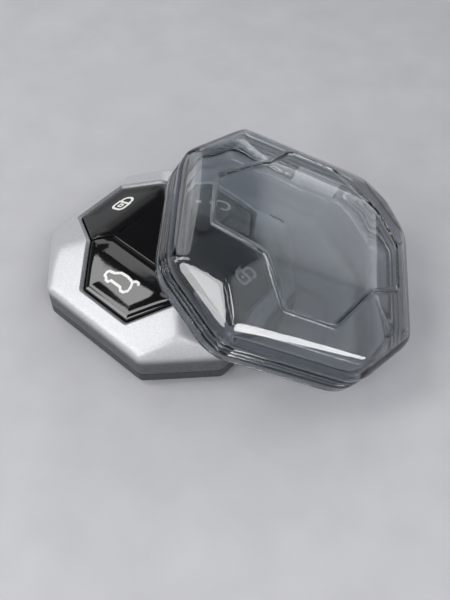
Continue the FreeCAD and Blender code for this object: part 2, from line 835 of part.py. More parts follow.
def make_key_blade(doc):
    body = new_body(doc, "key_blade")
    sketch = new_sketch(body, "BladeOutline", height="key_low")
    top = HEAD_INNER + " + tang_length"
    tip = HEAD_INNER + " - blade_length"
    shoulder = "%s + blade_tip" % tip
    point = "blade_half - blade_tip"
    right = [("blade_half", top), ("blade_half", shoulder), (point, tip)]
    add_polygon(sketch, right + [("-(%s)" % x, y) for x, y in reversed(right)])
    pad(body, "BladeBar", sketch, "blade_thickness")
    sketch = new_sketch(body, "BladeGroove", height="key_low + blade_thickness")
    low_end = tip + " - overrun"
    high_end = HEAD_INNER + " - tang_length"
    add_polygon(sketch, rectangle("-blade_groove_half", "blade_groove_half", low_end, high_end))
    pocket(body, "BladeMilling", sketch, "blade_groove_depth")
    sketch = new_sketch(body, "TangCircle", height="key_low + blade_thickness")
    add_circle(sketch, "0", HEAD_INNER + " + pin_inset", "pin_radius + pin_clearance")
    pocket(body, "TangHole", sketch, "blade_thickness")
    return at_key(body)


def make_key_head(doc):
    body = new_body(doc, "key_head")
    sketch = new_sketch(body, "HeadOutline", height=HEAD_LOW)
    outer = "(half_length + tab_reach)"
    shoulder = "(half_length + tab_reach - tab_round)"
    corner = "(tab_half - tab_round)"
    right = [("head_half", HEAD_INNER), ("head_half", "half_length"), ("tab_half", "half_length")]
    right += [("tab_half", shoulder), (corner, outer)]
    add_polygon(sketch, right + [("-" + x, y) for x, y in reversed(right)])
    pad(body, "HeadBlock", sketch, "head_thickness")
    sketch = new_sketch(body, "EyeletCircle", height=HEAD_TOP)
    add_circle(sketch, "0", "half_length + eyelet_reach", "eyelet_radius")
    pocket(body, "Eyelet", sketch, "head_thickness")
    sketch = new_sketch(body, "TangSection", "XZ_Plane", "-" + HEAD_INNER)
    side = "(blade_half + tang_clearance)"
    low = "key_low - tang_clearance"
    high = "key_low + blade_thickness + tang_clearance"
    add_polygon(sketch, rectangle("-" + side, side, low, high))
    pocket(body, "TangSocket", sketch, "tang_length + tang_clearance")
    sketch = new_sketch(body, "PinCircle", height=HEAD_TOP)
    add_circle(sketch, "0", HEAD_INNER + " + pin_inset", "pin_radius + pin_clearance")
    pocket(body, "PinHole", sketch, "head_thickness")
    return at_key(body)


def make_key_pin(doc):
    body = new_body(doc, "key_pin")
    sketch = new_sketch(body, "PinOutline", height=HEAD_LOW)
    add_circle(sketch, "0", HEAD_INNER + " + pin_inset", "pin_radius")
    pad(body, "PinRod", sketch, "head_thickness")
    return at_key(body)


# Cover, drawn closed round the fob

COVER_GROW = "(fit_clearance + cover_wall)"
CROWN_LIFT = "(crown_clearance + cover_crown_wall)"
COVER_TOP = "(fob_height + crown_clearance + cover_crown_wall)"
CAVITY_TOP = "(fob_height + crown_clearance)"
TONGUE_GROW = "(fit_clearance + tongue_thickness)"


def make_cavity(doc, label, low, bevel):
    # The space inside the cover: the fob with its clearances, open at the key's tab.
    body = new_body(doc, label)
    sketch = new_sketch(body, "CavityOutline", height=low)
    add_polygon(sketch, grown_octagon("fit_clearance"))
    block = pad(body, "CavityBlock", sketch, CAVITY_TOP + " - (%s)" % low)
    rounded = round_upright_edges(body, "CavityCorners", block, FOB_ROUND)
    if bevel:
        chamfer_lowest_edges(body, "CavityBevel", rounded, bevel)
    cut_crown(body, "crown_clearance", CAVITY_TOP)
    sketch = new_sketch(body, "TabSection", "XZ_Plane")
    add_polygon(sketch, head_window("tab_window"))
    pad(body, "TabWindow", sketch, "half_length + %s + overrun" % COVER_GROW, down=True)
    return body


def make_cover_front(doc):
    outer = new_body(doc, "cover_front_outer")
    sketch = new_sketch(outer, "CoverOutline", height="seam_height")
    add_polygon(sketch, grown_octagon(COVER_GROW))
    block = pad(outer, "CoverBlock", sketch, COVER_TOP + " - seam_height")
    round_upright_edges(outer, "CoverCorners", block, COVER_ROUND)
    cut_crown(outer, CROWN_LIFT, COVER_TOP)
    reach_x = "half_width + " + COVER_GROW
    reach_y = "half_length + " + COVER_GROW
    cut_slopes(outer, "Bevel", reach_x, reach_y, "rim_top_height", "rim_bevel_share", COVER_TOP)
    for number in range(int(SIZES["groove_count"])):
        low = "seam_height + groove_start + groove_spacing * %d" % number
        sketch = new_sketch(outer, "GrooveTrack%d" % number, height=low)
        add_polygon(sketch, grown_octagon(COVER_GROW + " + overrun"))
        add_polygon(sketch, grown_octagon(COVER_GROW + " - groove_depth"))
        pocket(outer, "Groove%d" % number, sketch, "groove_width", up=True)

    bead = new_body(doc, "cover_front_bead")
    sketch = new_sketch(bead, "BeadOutline", height="rim_top_height")
    add_polygon(sketch, panel_outline("bead_inset"))
    add_polygon(sketch, panel_outline("bead_inset + bead_width"))
    pad(bead, "BeadWall", sketch, COVER_TOP + " + bead_height - rim_top_height")
    height = "ring_edge_height + %s + bead_height" % CROWN_LIFT
    top = COVER_TOP + " + bead_height"
    cut_slopes(bead, "BeadCrown", "half_width", "half_length", height, "crown_rise_share", top)

    cavity = make_cavity(doc, "cover_front_cavity", "seam_height", None)
    sketch = new_sketch(cavity, "RebateOutline", height="seam_height")
    add_polygon(sketch, grown_octagon(TONGUE_GROW + " + tongue_clearance"))
    pad(cavity, "Rebate", sketch, "tongue_height + tongue_clearance")
    whole = boolean(doc, "Fuse", "cover_front_whole", outer, bead)
    return boolean(doc, "Cut", "cover_front", whole, cavity)


def make_cover_back(doc):
    outer = new_body(doc, "cover_back_outer")
    low = "-(base_clearance + cover_floor)"
    sketch = new_sketch(outer, "TrayOutline", height=low)
    add_polygon(sketch, grown_octagon(COVER_GROW))
    block = pad(outer, "TrayBlock", sketch, "seam_height + base_clearance + cover_floor")
    rounded = round_upright_edges(outer, "TrayCorners", block, COVER_ROUND)
    chamfer_lowest_edges(outer, "TrayBevel", rounded, "cover_base_bevel")
    sketch = new_sketch(outer, "TongueOutline", height="seam_height")
    add_polygon(sketch, grown_octagon(TONGUE_GROW))
    pad(outer, "Tongue", sketch, "tongue_height")
    cavity = make_cavity(doc, "cover_back_cavity", "-base_clearance", "base_bevel")
    return boolean(doc, "Cut", "cover_back", outer, cavity)


def lay_cover(sheet, front, back, support):
    # Turns the closed cover and leans it, then sets it down on the table and on the fob's front shell.
    toward = math.radians(sheet.cover_toward_angle)
    axis = FreeCAD.Vector(-math.sin(toward), math.cos(toward), 0)
    lean = FreeCAD.Rotation(axis, sheet.cover_lean_angle)
    turn = lean.multiply(FreeCAD.Rotation(FreeCAD.Vector(0, 0, 1), sheet.cover_spin_angle))
    normal = turn.multVec(FreeCAD.Vector(0, 0, 1))
    lowest = min(turn.multVec(vertex.Point).z for vertex in back.Shape.Vertexes)
    height = sheet.table_gap - lowest
    corner = max(normal.dot(vertex.Point) for vertex in support.Shape.Vertexes)
    underside = -(sheet.base_clearance + sheet.cover_floor)
    level = corner - underside + sheet.lean_gap
    along = (level - normal.z * height) / math.sin(math.radians(sheet.cover_lean_angle))
    forward = FreeCAD.Vector(math.cos(toward), math.sin(toward), 0)
    place = forward * along + axis * sheet.cover_aside + FreeCAD.Vector(0, 0, height)
    for shell in (front, back):
        shell.Placement = FreeCAD.Placement(place, turn)
    return place, normal


def check_document(doc):
    for item in doc.Objects:
        for word in ("Invalid", "Error"):
            if word in item.State:
                raise RuntimeError("%s is %s" % (item.Name, item.State))
        base = getattr(item, "BaseFeature", None)
        if base is not None and item.TypeId.startswith("PartDesign::"):
            if abs(item.Shape.Volume - base.Shape.Volume) < base.Shape.Volume * TINY_SHARE:
                raise RuntimeError("%s changes nothing" % item.Name)


def check_shape(part):
    if part.Shape.isNull() or not part.Shape.isValid():
        raise RuntimeError("%s has no valid shape" % part.Label)
    if len(part.Shape.Solids) != 1:
        raise RuntimeError("%s has %d solids" % (part.Label, len(part.Shape.Solids)))


def main():
    doc = FreeCAD.newDocument("KeyFobCover")
    sheet = fill_sheet(doc)
    parts = [make_front_shell(doc), make_back_shell(doc), make_gasket(doc)]
    parts += make_buttons(doc)
    parts += [make_centre_plate(doc), make_inner_frame(doc), make_circuit_board(doc)]
    parts += [make_carrier(doc), make_seal(doc)]
    parts += make_board_parts(doc)
    parts += [make_coin_cell(doc)]
    parts += make_contacts(doc)
    parts += [make_battery_door(doc)]
    parts += make_screws(doc)
    parts += [make_key_blade(doc), make_key_head(doc), make_key_pin(doc)]
    front = make_cover_front(doc)
    back = make_cover_back(doc)
    parts += [front, back]
    doc.recompute()
    check_document(doc)
    place, normal = lay_cover(sheet, front, back, parts[0])
    doc.recompute()
    for part in parts:
        check_shape(part)
    os.makedirs("parts", exist_ok=True)
    for part in parts:
        part.Shape.exportStep("parts/%s.step" % part.Label)
    print("cover origin", place, "normal", normal)
    print(len(parts), "parts written")


main()
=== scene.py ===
import math

import bmesh
import bpy
import numpy as np
from mathutils import Matrix, Vector


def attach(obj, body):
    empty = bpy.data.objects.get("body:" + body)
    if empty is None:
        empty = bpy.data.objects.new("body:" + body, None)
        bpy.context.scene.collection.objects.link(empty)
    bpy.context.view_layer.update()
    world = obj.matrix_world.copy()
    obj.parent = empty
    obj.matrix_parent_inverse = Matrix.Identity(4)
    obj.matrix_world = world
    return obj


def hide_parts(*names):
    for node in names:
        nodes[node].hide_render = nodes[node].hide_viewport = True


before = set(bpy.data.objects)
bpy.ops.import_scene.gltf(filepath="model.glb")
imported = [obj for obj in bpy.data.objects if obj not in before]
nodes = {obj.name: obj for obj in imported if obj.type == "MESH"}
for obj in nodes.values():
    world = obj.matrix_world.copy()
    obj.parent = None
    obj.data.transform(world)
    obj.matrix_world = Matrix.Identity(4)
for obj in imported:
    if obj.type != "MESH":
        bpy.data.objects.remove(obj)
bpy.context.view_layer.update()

# A silver key fob with a clear smoke cover lying across it.
# Shapes are worked out in millimetres in the fob's own frame, and go into the meshes in metres.

scene = bpy.context.scene
scene.view_settings.view_transform = "Standard"
print("frame loaded,", len(nodes), "solids")

millimetre = 0.001
tiny = 1e-9
rootTwo = math.sqrt(2)
fob = {
    "halfX": 30.0, "halfY": 27.8, "cornerCut": 13.8,  # the octagon seen from above
    "edgeZ": 11.4, "topZ": 17.9,  # outer edge of the ring, flat top
    "crownRise": 0.43, "facetRise": 1.3,  # slope of the four sides and of the four corner facets
}
panel = {
    "reachX": 26.5, "reachY": 24.0, "lobeHalf": 7.6, "notchX": 15.1, "notchY": 13.9,
    "shift": 1.0,  # the panel's middle above the fob's
    "plateX": 11.0, "plateY": 9.3, "gap": 0.3, "sink": 0.15,
}
cornerReach = (fob["halfX"] + fob["halfY"] - fob["cornerCut"]) / rootTwo
panelMiddle = np.array((0.0, panel["shift"]))


# Outlines

mostCut = 0.45  # share of a side that a rounded corner may take
leastCross = 1e-12  # a way along an edge still divides by something
leastTurn = 3e-4  # radians: ways that lie closer become one


def fourfold(quarter, middle=0.0):  # the first quarter, counter-clockwise, to all four
    around = list(quarter)
    around += [(-x, y) for x, y in reversed(quarter)]
    around += [(-x, -y) for x, y in quarter]
    around += [(x, -y) for x, y in reversed(quarter)]
    return np.array([(x, y + middle) for x, y in around])


def octagonCorners(grow):
    halfX = fob["halfX"] + grow
    halfY = fob["halfY"] + grow
    cut = fob["cornerCut"] + grow * (2 - rootTwo)
    return fourfold([(halfX, halfY - cut), (halfX - cut, halfY)])


def panelCorners():
    lobeX = (panel["reachX"], panel["lobeHalf"])
    notch = (panel["notchX"], panel["notchY"])
    lobeY = (panel["lobeHalf"], panel["reachY"])
    return fourfold([lobeX, notch, lobeY], panel["shift"])


def leftOf(ways):  # each way at length one, turned a quarter to the left
    ways = ways / np.linalg.norm(ways, axis=1)[:, None]
    return np.stack([-ways[:, 1], ways[:, 0]], 1)


def insetCorners(corners, inset):  # every side moved inward by the same distance
    before = leftOf(corners - np.roll(corners, 1, axis=0))
    after = leftOf(np.roll(corners, -1, axis=0) - corners)
    share = 1 + (before * after).sum(1)
    return corners + (before + after) * inset / share[:, None]


def bezier(first, middle, last, share):
    rest = 1 - share
    return rest * rest * first + 2 * share * rest * middle + share * share * last


def roundCorners(corners, radius, steps=6):
    points = []
    for index, corner in enumerate(corners):
        back = corners[index - 1] - corner
        ahead = corners[(index + 1) % len(corners)] - corner
        backLong = np.linalg.norm(back)
        aheadLong = np.linalg.norm(ahead)
        back = back / backLong
        ahead = ahead / aheadLong
        opening = math.acos(max(-1.0, min(1.0, float(back @ ahead))))
        cut = min(radius / math.tan(opening / 2), mostCut * backLong, mostCut * aheadLong)
        for share in np.linspace(0, 1, steps + 1):
            points.append(bezier(corner + back * cut, corner, corner + ahead * cut, share))
    return np.array(points)


def reachAlong(outline, middle, angles):  # how far the outline is from the middle, each way
    aimX = np.cos(angles)
    aimY = np.sin(angles)
    reach = np.zeros(len(angles))
    for start, end in zip(outline, np.roll(outline, -1, axis=0)):
        edge = end - start
        away = start - middle
        cross = aimX * edge[1] - aimY * edge[0]
        cross = np.where(np.abs(cross) < leastCross, leastCross, cross)
        far = (away[0] * edge[1] - away[1] * edge[0]) / cross
        along = (away[0] * aimY - away[1] * aimX) / cross
        met = (along > -tiny) & (along < 1 + tiny) & (far > 0)
        reach = np.where(met, np.maximum(reach, far), reach)
    return reach


def waysRound(middle, count, *outlines):
    # Evenly spaced ways, and one to each point of the outlines.
    angles = [np.linspace(-math.pi, math.pi, count, endpoint=False)]
    for outline in outlines:
        away = outline - middle
        angles.append(np.arctan2(away[:, 1], away[:, 0]))
    angles = np.sort(np.concatenate(angles))
    return angles[np.r_[True, np.diff(angles) > leastTurn]]


def awayFrom(line, x, y, closed=False):  # distance of points from a line of edges
    nearest = np.full(np.shape(x), np.inf)
    ends = np.roll(line, -1, axis=0) if closed else line[1:]
    for start, end in zip(line, ends):
        edge = end - start
        share = ((x - start[0]) * edge[0] + (y - start[1]) * edge[1]) / (edge @ edge)
        share = np.clip(share, 0, 1)
        gap = np.hypot(x - start[0] - share * edge[0], y - start[1] - share * edge[1])
        nearest = np.minimum(nearest, gap)
    return nearest


# Heights

def softMin(soft, *heights):  # the lowest of several slopes, with their meeting edges rounded
    stack = np.stack(np.broadcast_arrays(*heights))
    low = stack.min(0)
    return low - soft * np.log(np.exp((low - stack) / soft).sum(0))


def crownHeight(x, y, lift, top, soft, *more):
    x = np.abs(x)
    y = np.abs(y)
    edge = fob["edgeZ"] + lift
    sideX = edge + fob["crownRise"] * (fob["halfX"] - x)
    sideY = edge + fob["crownRise"] * (fob["halfY"] - y)
    facet = edge + fob["facetRise"] * (cornerReach - (x + y) / rootTwo)
    return softMin(soft, sideX, sideY, facet, np.full(np.shape(x), top), *more)


def smoothStep(share):
    share = np.clip(share, 0, 1)
    return share * share * (3 - 2 * share)


def evenShares(count):
    return np.linspace(0, 1, count + 1)[1:]


# Meshes

def ringAt(middle, angles, reach, height):
    x = middle[0] + np.cos(angles) * reach
    y = middle[1] + np.sin(angles) * reach
    if callable(height):
        height = height(x, y)
    return np.stack([x, y, np.broadcast_to(height, np.shape(x))], 1)


def newPiece(name, points, faces, sharpAngle, place=None):
    mesh = bpy.data.meshes.new(name)
    mesh.from_pydata([tuple(point) for point in np.asarray(points) * millimetre], [], faces)
    work = bmesh.new()
    work.from_mesh(mesh)
    bmesh.ops.recalc_face_normals(work, faces=work.faces[:])
    work.to_mesh(mesh)
    work.free()
    if place is not None:
        mesh.transform(place)
    mesh.polygons.foreach_set("use_smooth", [True] * len(mesh.polygons))
    mesh.set_sharp_from_angle(angle=math.radians(sharpAngle))
    piece = bpy.data.objects.new(name, mesh)
    scene.collection.objects.link(piece)
    return piece


def loft(name, rings, sharpAngle, startPole=None, endPole=None, zones=None, place=None):
    # Skins a row of rings. With no poles the last ring joins the first.
    count = len(rings[0])
    points = np.concatenate(rings)
    faces = []
    closed = startPole is None
    marks = []
    for index in range(len(rings) if closed else len(rings) - 1):
        low = index * count
        high = (index + 1) % len(rings) * count
        for step in range(count):
            following = (step + 1) % count
            faces.append((low + step, low + following, high + following, high + step))
        marks += [zones[index] if zones else 0] * count
    if not closed:
        points = np.concatenate([points, [startPole, endPole]])
        last = (len(rings) - 1) * count
        for step in range(count):
            following = (step + 1) % count
            faces.append((step, following, len(points) - 2))
            faces.append((last + step, last + following, len(points) - 1))
        marks += [0] * (2 * count)
    piece = newPiece(name, points, faces, sharpAngle, place)
    piece.data.polygons.foreach_set("material_index", marks)
    return piece


def cutBox(piece, low, high, place=None):  # takes a box out of a closed piece
    work = bmesh.new()
    size = (Vector(high) - Vector(low)) * millimetre
    middle = (Vector(high) + Vector(low)) / 2 * millimetre
    into = Matrix.Translation(middle) @ Matrix.Diagonal(size.to_4d())
    bmesh.ops.create_cube(work, size=1.0, matrix=(place or Matrix()) @ into)
    tool = bpy.data.meshes.new("cutter")
    work.to_mesh(tool)
    work.free()
    cutter = bpy.data.objects.new("cutter", tool)
    scene.collection.objects.link(cutter)
    boolean = piece.modifiers.new("window", "BOOLEAN")
    boolean.object = cutter
    boolean.operation = "DIFFERENCE"
    boolean.solver = "EXACT"
    depsgraph = bpy.context.evaluated_depsgraph_get()
    cut = bpy.data.meshes.new_from_object(piece.evaluated_get(depsgraph))
    piece.modifiers.clear()
    old = piece.data
    piece.data = cut
    cut.name = piece.name
    bpy.data.meshes.remove(old)
    bpy.data.objects.remove(cutter)
    bpy.data.meshes.remove(tool)


# Materials

noiseLow, noiseHigh = 0.3, 0.7  # most of a noise's values lie between these


def hexColour(text):  # sRGB as written, turned to linear
    shares = [int(text[index:index + 2], 16) / 255 for index in (1, 3, 5)]
    linear = [s / 12.92 if s <= 0.04045 else ((s + 0.055) / 1.055) ** 2.4 for s in shares]
    return (*linear, 1.0)


def addNode(tree, kind, inputs=None, stops=None, **settings):
    node = tree.nodes.new(kind)
    for name, value in settings.items():
        setattr(node, name, value)
    for name, value in (inputs or {}).items():
        if isinstance(value, bpy.types.NodeSocket):
            tree.links.new(value, node.inputs[name])
        else:
            node.inputs[name].default_value = value
    if stops:  # those of a colour ramp, from the first to the last
        elements = node.color_ramp.elements
        elements[0].position, elements[0].color = stops[0]
        elements[1].position, elements[1].color = stops[-1]
        for place, colour in stops[1:-1]:
            elements.new(place).color = colour
    return node


def newMaterial(name):
    material = bpy.data.materials.new(name)
    material.use_nodes = True
    tree = material.node_tree
    tree.nodes.clear()
    where = addNode(tree, "ShaderNodeTexCoord").outputs["Object"]
    return material, tree, where


def perMillimetre(size):  # texture scale for a pattern of that size in millimetres
    return 1000.0 / size


lacquer = {
    "bodyAt": 0.55, "roughSpread": 0.07, "coatRough": 0.18,
    "flakeDeep": 0.02, "rippleDeep": 0.05, "rippleTilt": 0.12,
}


def flakePaint(name, look, paintedShadeTones=None, paintedShadeBand=(0.0, 0.0)):
    # Lacquer with aluminium flakes: each flake catches the light on its own, under a clear coat
    # that the spray left slightly rippled. Darker tones of painted shade take over softly below a
    # band of heights.
    material, tree, where = newMaterial(name)
    flakes = addNode(tree, "ShaderNodeTexVoronoi", {
        "Vector": where, "Scale": perMillimetre(look["flake"])})
    ripple = addNode(tree, "ShaderNodeTexNoise", {
        "Vector": where, "Scale": perMillimetre(look["ripple"])})
    shade = addNode(tree, "ShaderNodeSeparateColor", {"Color": flakes.outputs["Color"]})
    colours = []
    for tones in [look, paintedShadeTones] if paintedShadeTones else [look]:
        flakeTones = addNode(tree, "ShaderNodeValToRGB", {"Fac": shade.outputs["Red"]}, stops=(
            (0.0, hexColour(tones["dark"])), (lacquer["bodyAt"], hexColour(tones["body"])),
            (1.0, hexColour(tones["spark"]))))
        colours.append(flakeTones.outputs["Color"])
    colour = colours[0]
    if paintedShadeTones:
        height = addNode(tree, "ShaderNodeSeparateXYZ", {"Vector": where})
        share = addNode(tree, "ShaderNodeMapRange", {
            "Value": height.outputs["Z"], "From Min": paintedShadeBand[0] * millimetre,
            "From Max": paintedShadeBand[1] * millimetre}, interpolation_type="SMOOTHSTEP")
        mixed = addNode(tree, "ShaderNodeMix", {  # sockets 6, 7 and 2 are its colours
            0: share.outputs["Result"], 6: colours[1], 7: colours[0]}, data_type="RGBA")
        colour = mixed.outputs[2]
    rough = addNode(tree, "ShaderNodeMapRange", {
        "Value": shade.outputs["Green"], "To Min": look["rough"] - lacquer["roughSpread"],
        "To Max": look["rough"] + lacquer["roughSpread"]})
    tilt = addNode(tree, "ShaderNodeBump", {
        "Height": shade.outputs["Blue"], "Strength": look["flakeTilt"],
        "Distance": lacquer["flakeDeep"] * millimetre})
    skin = addNode(tree, "ShaderNodeBump", {
        "Height": ripple.outputs["Fac"], "Strength": lacquer["rippleTilt"],
        "Distance": lacquer["rippleDeep"] * millimetre, "Normal": tilt.outputs["Normal"]})
    shader = addNode(tree, "ShaderNodeBsdfPrincipled", {
        "Base Color": colour, "Metallic": look["metal"], "Roughness": rough.outputs["Result"],
        "Normal": skin.outputs["Normal"], "Coat Weight": look["coat"],
        "Coat Roughness": lacquer["coatRough"]})
    addNode(tree, "ShaderNodeOutputMaterial", {"Surface": shader.outputs["BSDF"]})
    return material


# flakes of 0.03 mm drawn at 0.12 to 0.14 mm so that they show
silverLook = {
    "body": "#c6c7ca", "dark": "#bcbdc1", "spark": "#d6d6d8", "flake": 0.12, "ripple": 1.4,
    "metal": 0.55, "rough": 0.50, "flakeTilt": 0.05, "coat": 0.12,
}
# painted shade: the side wall's darker tones lower down stand in for shade on it
paintedShadeWallTones = {"body": "#606165", "dark": "#515256", "spark": "#7f8084"}
paintedShadeWallBand = (8.0, 11.0)  # heights over which the side wall goes from the grey of painted shade to silver
# painted shade: the lip round the panel is silver lacquer drawn mid-grey for the shade on its bevel
lipPaintedShadeLook = {
    "body": "#8d8e92", "dark": "#7e7f83", "spark": "#a6a7ab", "flake": 0.14, "ripple": 1.4,
    "metal": 0.6, "rough": 0.45, "flakeTilt": 0.12, "coat": 0.15,
}
# painted shade: the back shell is silver lacquer drawn dark grey for the shade on its low side
backShellPaintedShadeLook = {
    "body": "#47484c", "dark": "#3a3b3e", "spark": "#64666a", "flake": 0.14, "ripple": 1.4,
    "metal": 0.55, "rough": 0.48, "flakeTilt": 0.14, "coat": 0.1,
}
# the silver front shell, with painted shade fading in down its side wall
silverLacquer = flakePaint("silverFlakeLacquerSprayed", silverLook, paintedShadeWallTones, paintedShadeWallBand)
lipPaintedShadeLacquer = flakePaint("silverFlakeLacquerPaintedShade", lipPaintedShadeLook)
backShellPaintedShadeLacquer = flakePaint("silverFlakeLacquerPaintedShadeDark", backShellPaintedShadeLook)


moulding = {
    "flowDetail": 3.0, "grainDetail": 4.0, "waveDeep": 0.1, "grainDeep": 0.04, "coatRough": 0.04,
}


def mouldedPlastic(name, look):
    # Moulded plastic: an even colour with faint flow shading, and the tool's own finish as grain.
    material, tree, where = newMaterial(name)
    flow = addNode(tree, "ShaderNodeTexNoise", {
        "Vector": where, "Scale": perMillimetre(look["flow"]), "Detail": moulding["flowDetail"]})
    grain = addNode(tree, "ShaderNodeTexNoise", {
        "Vector": where, "Scale": perMillimetre(look["grain"]), "Detail": moulding["grainDetail"]})
    tones = addNode(tree, "ShaderNodeValToRGB", {"Fac": flow.outputs["Fac"]}, stops=(
        (noiseLow, hexColour(look["dark"])), (noiseHigh, hexColour(look["body"]))))
    rough = addNode(tree, "ShaderNodeMapRange", {
        "Value": grain.outputs["Fac"], "From Min": noiseLow, "From Max": noiseHigh,
        "To Min": look["rough"] - look["roughSpread"],
        "To Max": look["rough"] + look["roughSpread"]})
    wave = addNode(tree, "ShaderNodeBump", {
        "Height": flow.outputs["Fac"], "Strength": look["wave"],
        "Distance": moulding["waveDeep"] * millimetre})
    skin = addNode(tree, "ShaderNodeBump", {
        "Height": grain.outputs["Fac"], "Strength": look["texture"],
        "Distance": moulding["grainDeep"] * millimetre, "Normal": wave.outputs["Normal"]})
    shader = addNode(tree, "ShaderNodeBsdfPrincipled", {
        "Base Color": tones.outputs["Color"], "Roughness": rough.outputs["Result"],
        "Normal": skin.outputs["Normal"], "IOR": look["ior"], "Coat Weight": look["coat"],
        "Coat Roughness": moulding["coatRough"]})
    addNode(tree, "ShaderNodeOutputMaterial", {"Surface": shader.outputs["BSDF"]})
    return material


# polished black ABS: deep black, with slightly wavy mirror images
pianoBlack = mouldedPlastic("blackAbsPolished", {
    "body": "#0b0b0d", "dark": "#08080a", "flow": 6.0, "grain": 0.5,
    "rough": 0.08, "roughSpread": 0.03, "wave": 0.22, "texture": 0.0, "ior": 1.54, "coat": 0.0})
# spark-eroded black ABS: a dull even grain
blackAbs = mouldedPlastic("blackAbsSparkEroded", {
    "body": "#26272a", "dark": "#1d1e20", "flow": 9.0, "grain": 0.30,
    "rough": 0.55, "roughSpread": 0.08, "wave": 0.05, "texture": 0.5, "ior": 1.52, "coat": 0.0})
# silicone rubber, moulded: soft and dull, a little dusty
siliconeRubber = mouldedPlastic("siliconeRubberMoulded", {
    "body": "#3a3c40", "dark": "#2e3033", "flow": 4.0, "grain": 0.4,
    "rough": 0.70, "roughSpread": 0.06, "wave": 0.1, "texture": 0.25, "ior": 1.41, "coat": 0.0})
# glass-epoxy board under solder mask: glossy green with the weave just showing
boardGreen = mouldedPlastic("glassEpoxyBoardMasked", {
    "body": "#1f6b3c", "dark": "#17552f", "flow": 0.8, "grain": 0.4,
    "rough": 0.28, "roughSpread": 0.05, "wave": 0.1, "texture": 0.2, "ior": 1.5, "coat": 0.2})
# pressed ferrite: dark grey, grainy and dry
ferrite = mouldedPlastic("ferritePressed", {
    "body": "#3b3b3d", "dark": "#2b2b2d", "flow": 2.0, "grain": 0.35,
    "rough": 0.75, "roughSpread": 0.08, "wave": 0.1, "texture": 0.6, "ior": 1.6, "coat": 0.0})
# pad-printed ink: a thin, slightly uneven matt white film
whiteInk = mouldedPlastic("whiteInkPadPrinted", {
    "body": "#f4f4f1", "dark": "#e6e6e2", "flow": 0.7, "grain": 0.25,
    "rough": 0.48, "roughSpread": 0.06, "wave": 0.05, "texture": 0.15, "ior": 1.5, "coat": 0.0})


brushing = {"detail": 5.0, "roughSpread": 0.06, "lineTilt": 0.12, "lineDeep": 0.02}


def brushedMetal(name, look):
    # Rolled or brushed metal: fine lines along one way that stretch the highlights across them.
    material, tree, where = newMaterial(name)
    along = addNode(tree, "ShaderNodeMapping", {"Vector": where, "Scale": look["stretch"]})
    lines = addNode(tree, "ShaderNodeTexNoise", {
        "Vector": along.outputs["Vector"], "Scale": perMillimetre(look["line"]),
        "Detail": brushing["detail"]})
    tones = addNode(tree, "ShaderNodeValToRGB", {"Fac": lines.outputs["Fac"]}, stops=(
        (noiseLow, hexColour(look["dark"])), (noiseHigh, hexColour(look["body"]))))
    rough = addNode(tree, "ShaderNodeMapRange", {
        "Value": lines.outputs["Fac"], "From Min": noiseLow, "From Max": noiseHigh,
        "To Min": look["rough"] - brushing["roughSpread"],
        "To Max": look["rough"] + brushing["roughSpread"]})
    skin = addNode(tree, "ShaderNodeBump", {
        "Height": lines.outputs["Fac"], "Strength": brushing["lineTilt"],
        "Distance": brushing["lineDeep"] * millimetre})
    shader = addNode(tree, "ShaderNodeBsdfPrincipled", {
        "Base Color": tones.outputs["Color"], "Metallic": 1.0,
        "Roughness": rough.outputs["Result"], "Normal": skin.outputs["Normal"]})
    addNode(tree, "ShaderNodeOutputMaterial", {"Surface": shader.outputs["BSDF"]})
    return material


# lines of 0.05 mm drawn at 0.3 mm so that they show
nickelSteel = brushedMetal("nickelPlatedSteelBrushed", {
    "body": "#c6c3bd", "dark": "#aba8a2", "line": 0.3, "stretch": (1.0, 0.08, 1.0), "rough": 0.27})
tinnedBronze = brushedMetal("tinnedBronzeStripRolled", {
    "body": "#cdb98a", "dark": "#b5a075", "line": 0.3, "stretch": (0.08, 1.0, 1.0), "rough": 0.30})


smoke = {
    "face": "#ffffff", "tint": "#ced3d7", "density": 1700.0, "rough": 0.02, "ior": 1.58,
    "wave": 9.0, "waveTilt": 0.06, "waveDeep": 0.1,
    "shadow": "#ededed",  # what each face lets through to light the fob below
}


def smokePolycarbonate():
    # Polycarbonate moulded with a smoke tint: clear and glossy, darker the longer light runs
    # in it, with the faint waves that moulding leaves.
    material, tree, where = newMaterial("smokePolycarbonateMoulded")
    wave = addNode(tree, "ShaderNodeTexNoise", {
        "Vector": where, "Scale": perMillimetre(smoke["wave"])})
    skin = addNode(tree, "ShaderNodeBump", {
        "Height": wave.outputs["Fac"], "Strength": smoke["waveTilt"],
        "Distance": smoke["waveDeep"] * millimetre})
    glass = addNode(tree, "ShaderNodeBsdfPrincipled", {
        "Base Color": hexColour(smoke["face"]), "Roughness": smoke["rough"], "IOR": smoke["ior"],
        "Transmission Weight": 1.0, "Normal": skin.outputs["Normal"]})
    clear = addNode(tree, "ShaderNodeBsdfTransparent", {"Color": hexColour(smoke["shadow"])})
    path = addNode(tree, "ShaderNodeLightPath")
    surface = addNode(tree, "ShaderNodeMixShader", {
        0: path.outputs["Is Shadow Ray"], 1: glass.outputs["BSDF"], 2: clear.outputs["BSDF"]})
    tint = addNode(tree, "ShaderNodeVolumeAbsorption", {
        "Color": hexColour(smoke["tint"]), "Density": smoke["density"]})
    addNode(tree, "ShaderNodeOutputMaterial", {
        "Surface": surface.outputs["Shader"], "Volume": tint.outputs["Volume"]})
    return material


smokeClear = smokePolycarbonate()
print("materials made")


# Silver front shell, a ring round the button panel

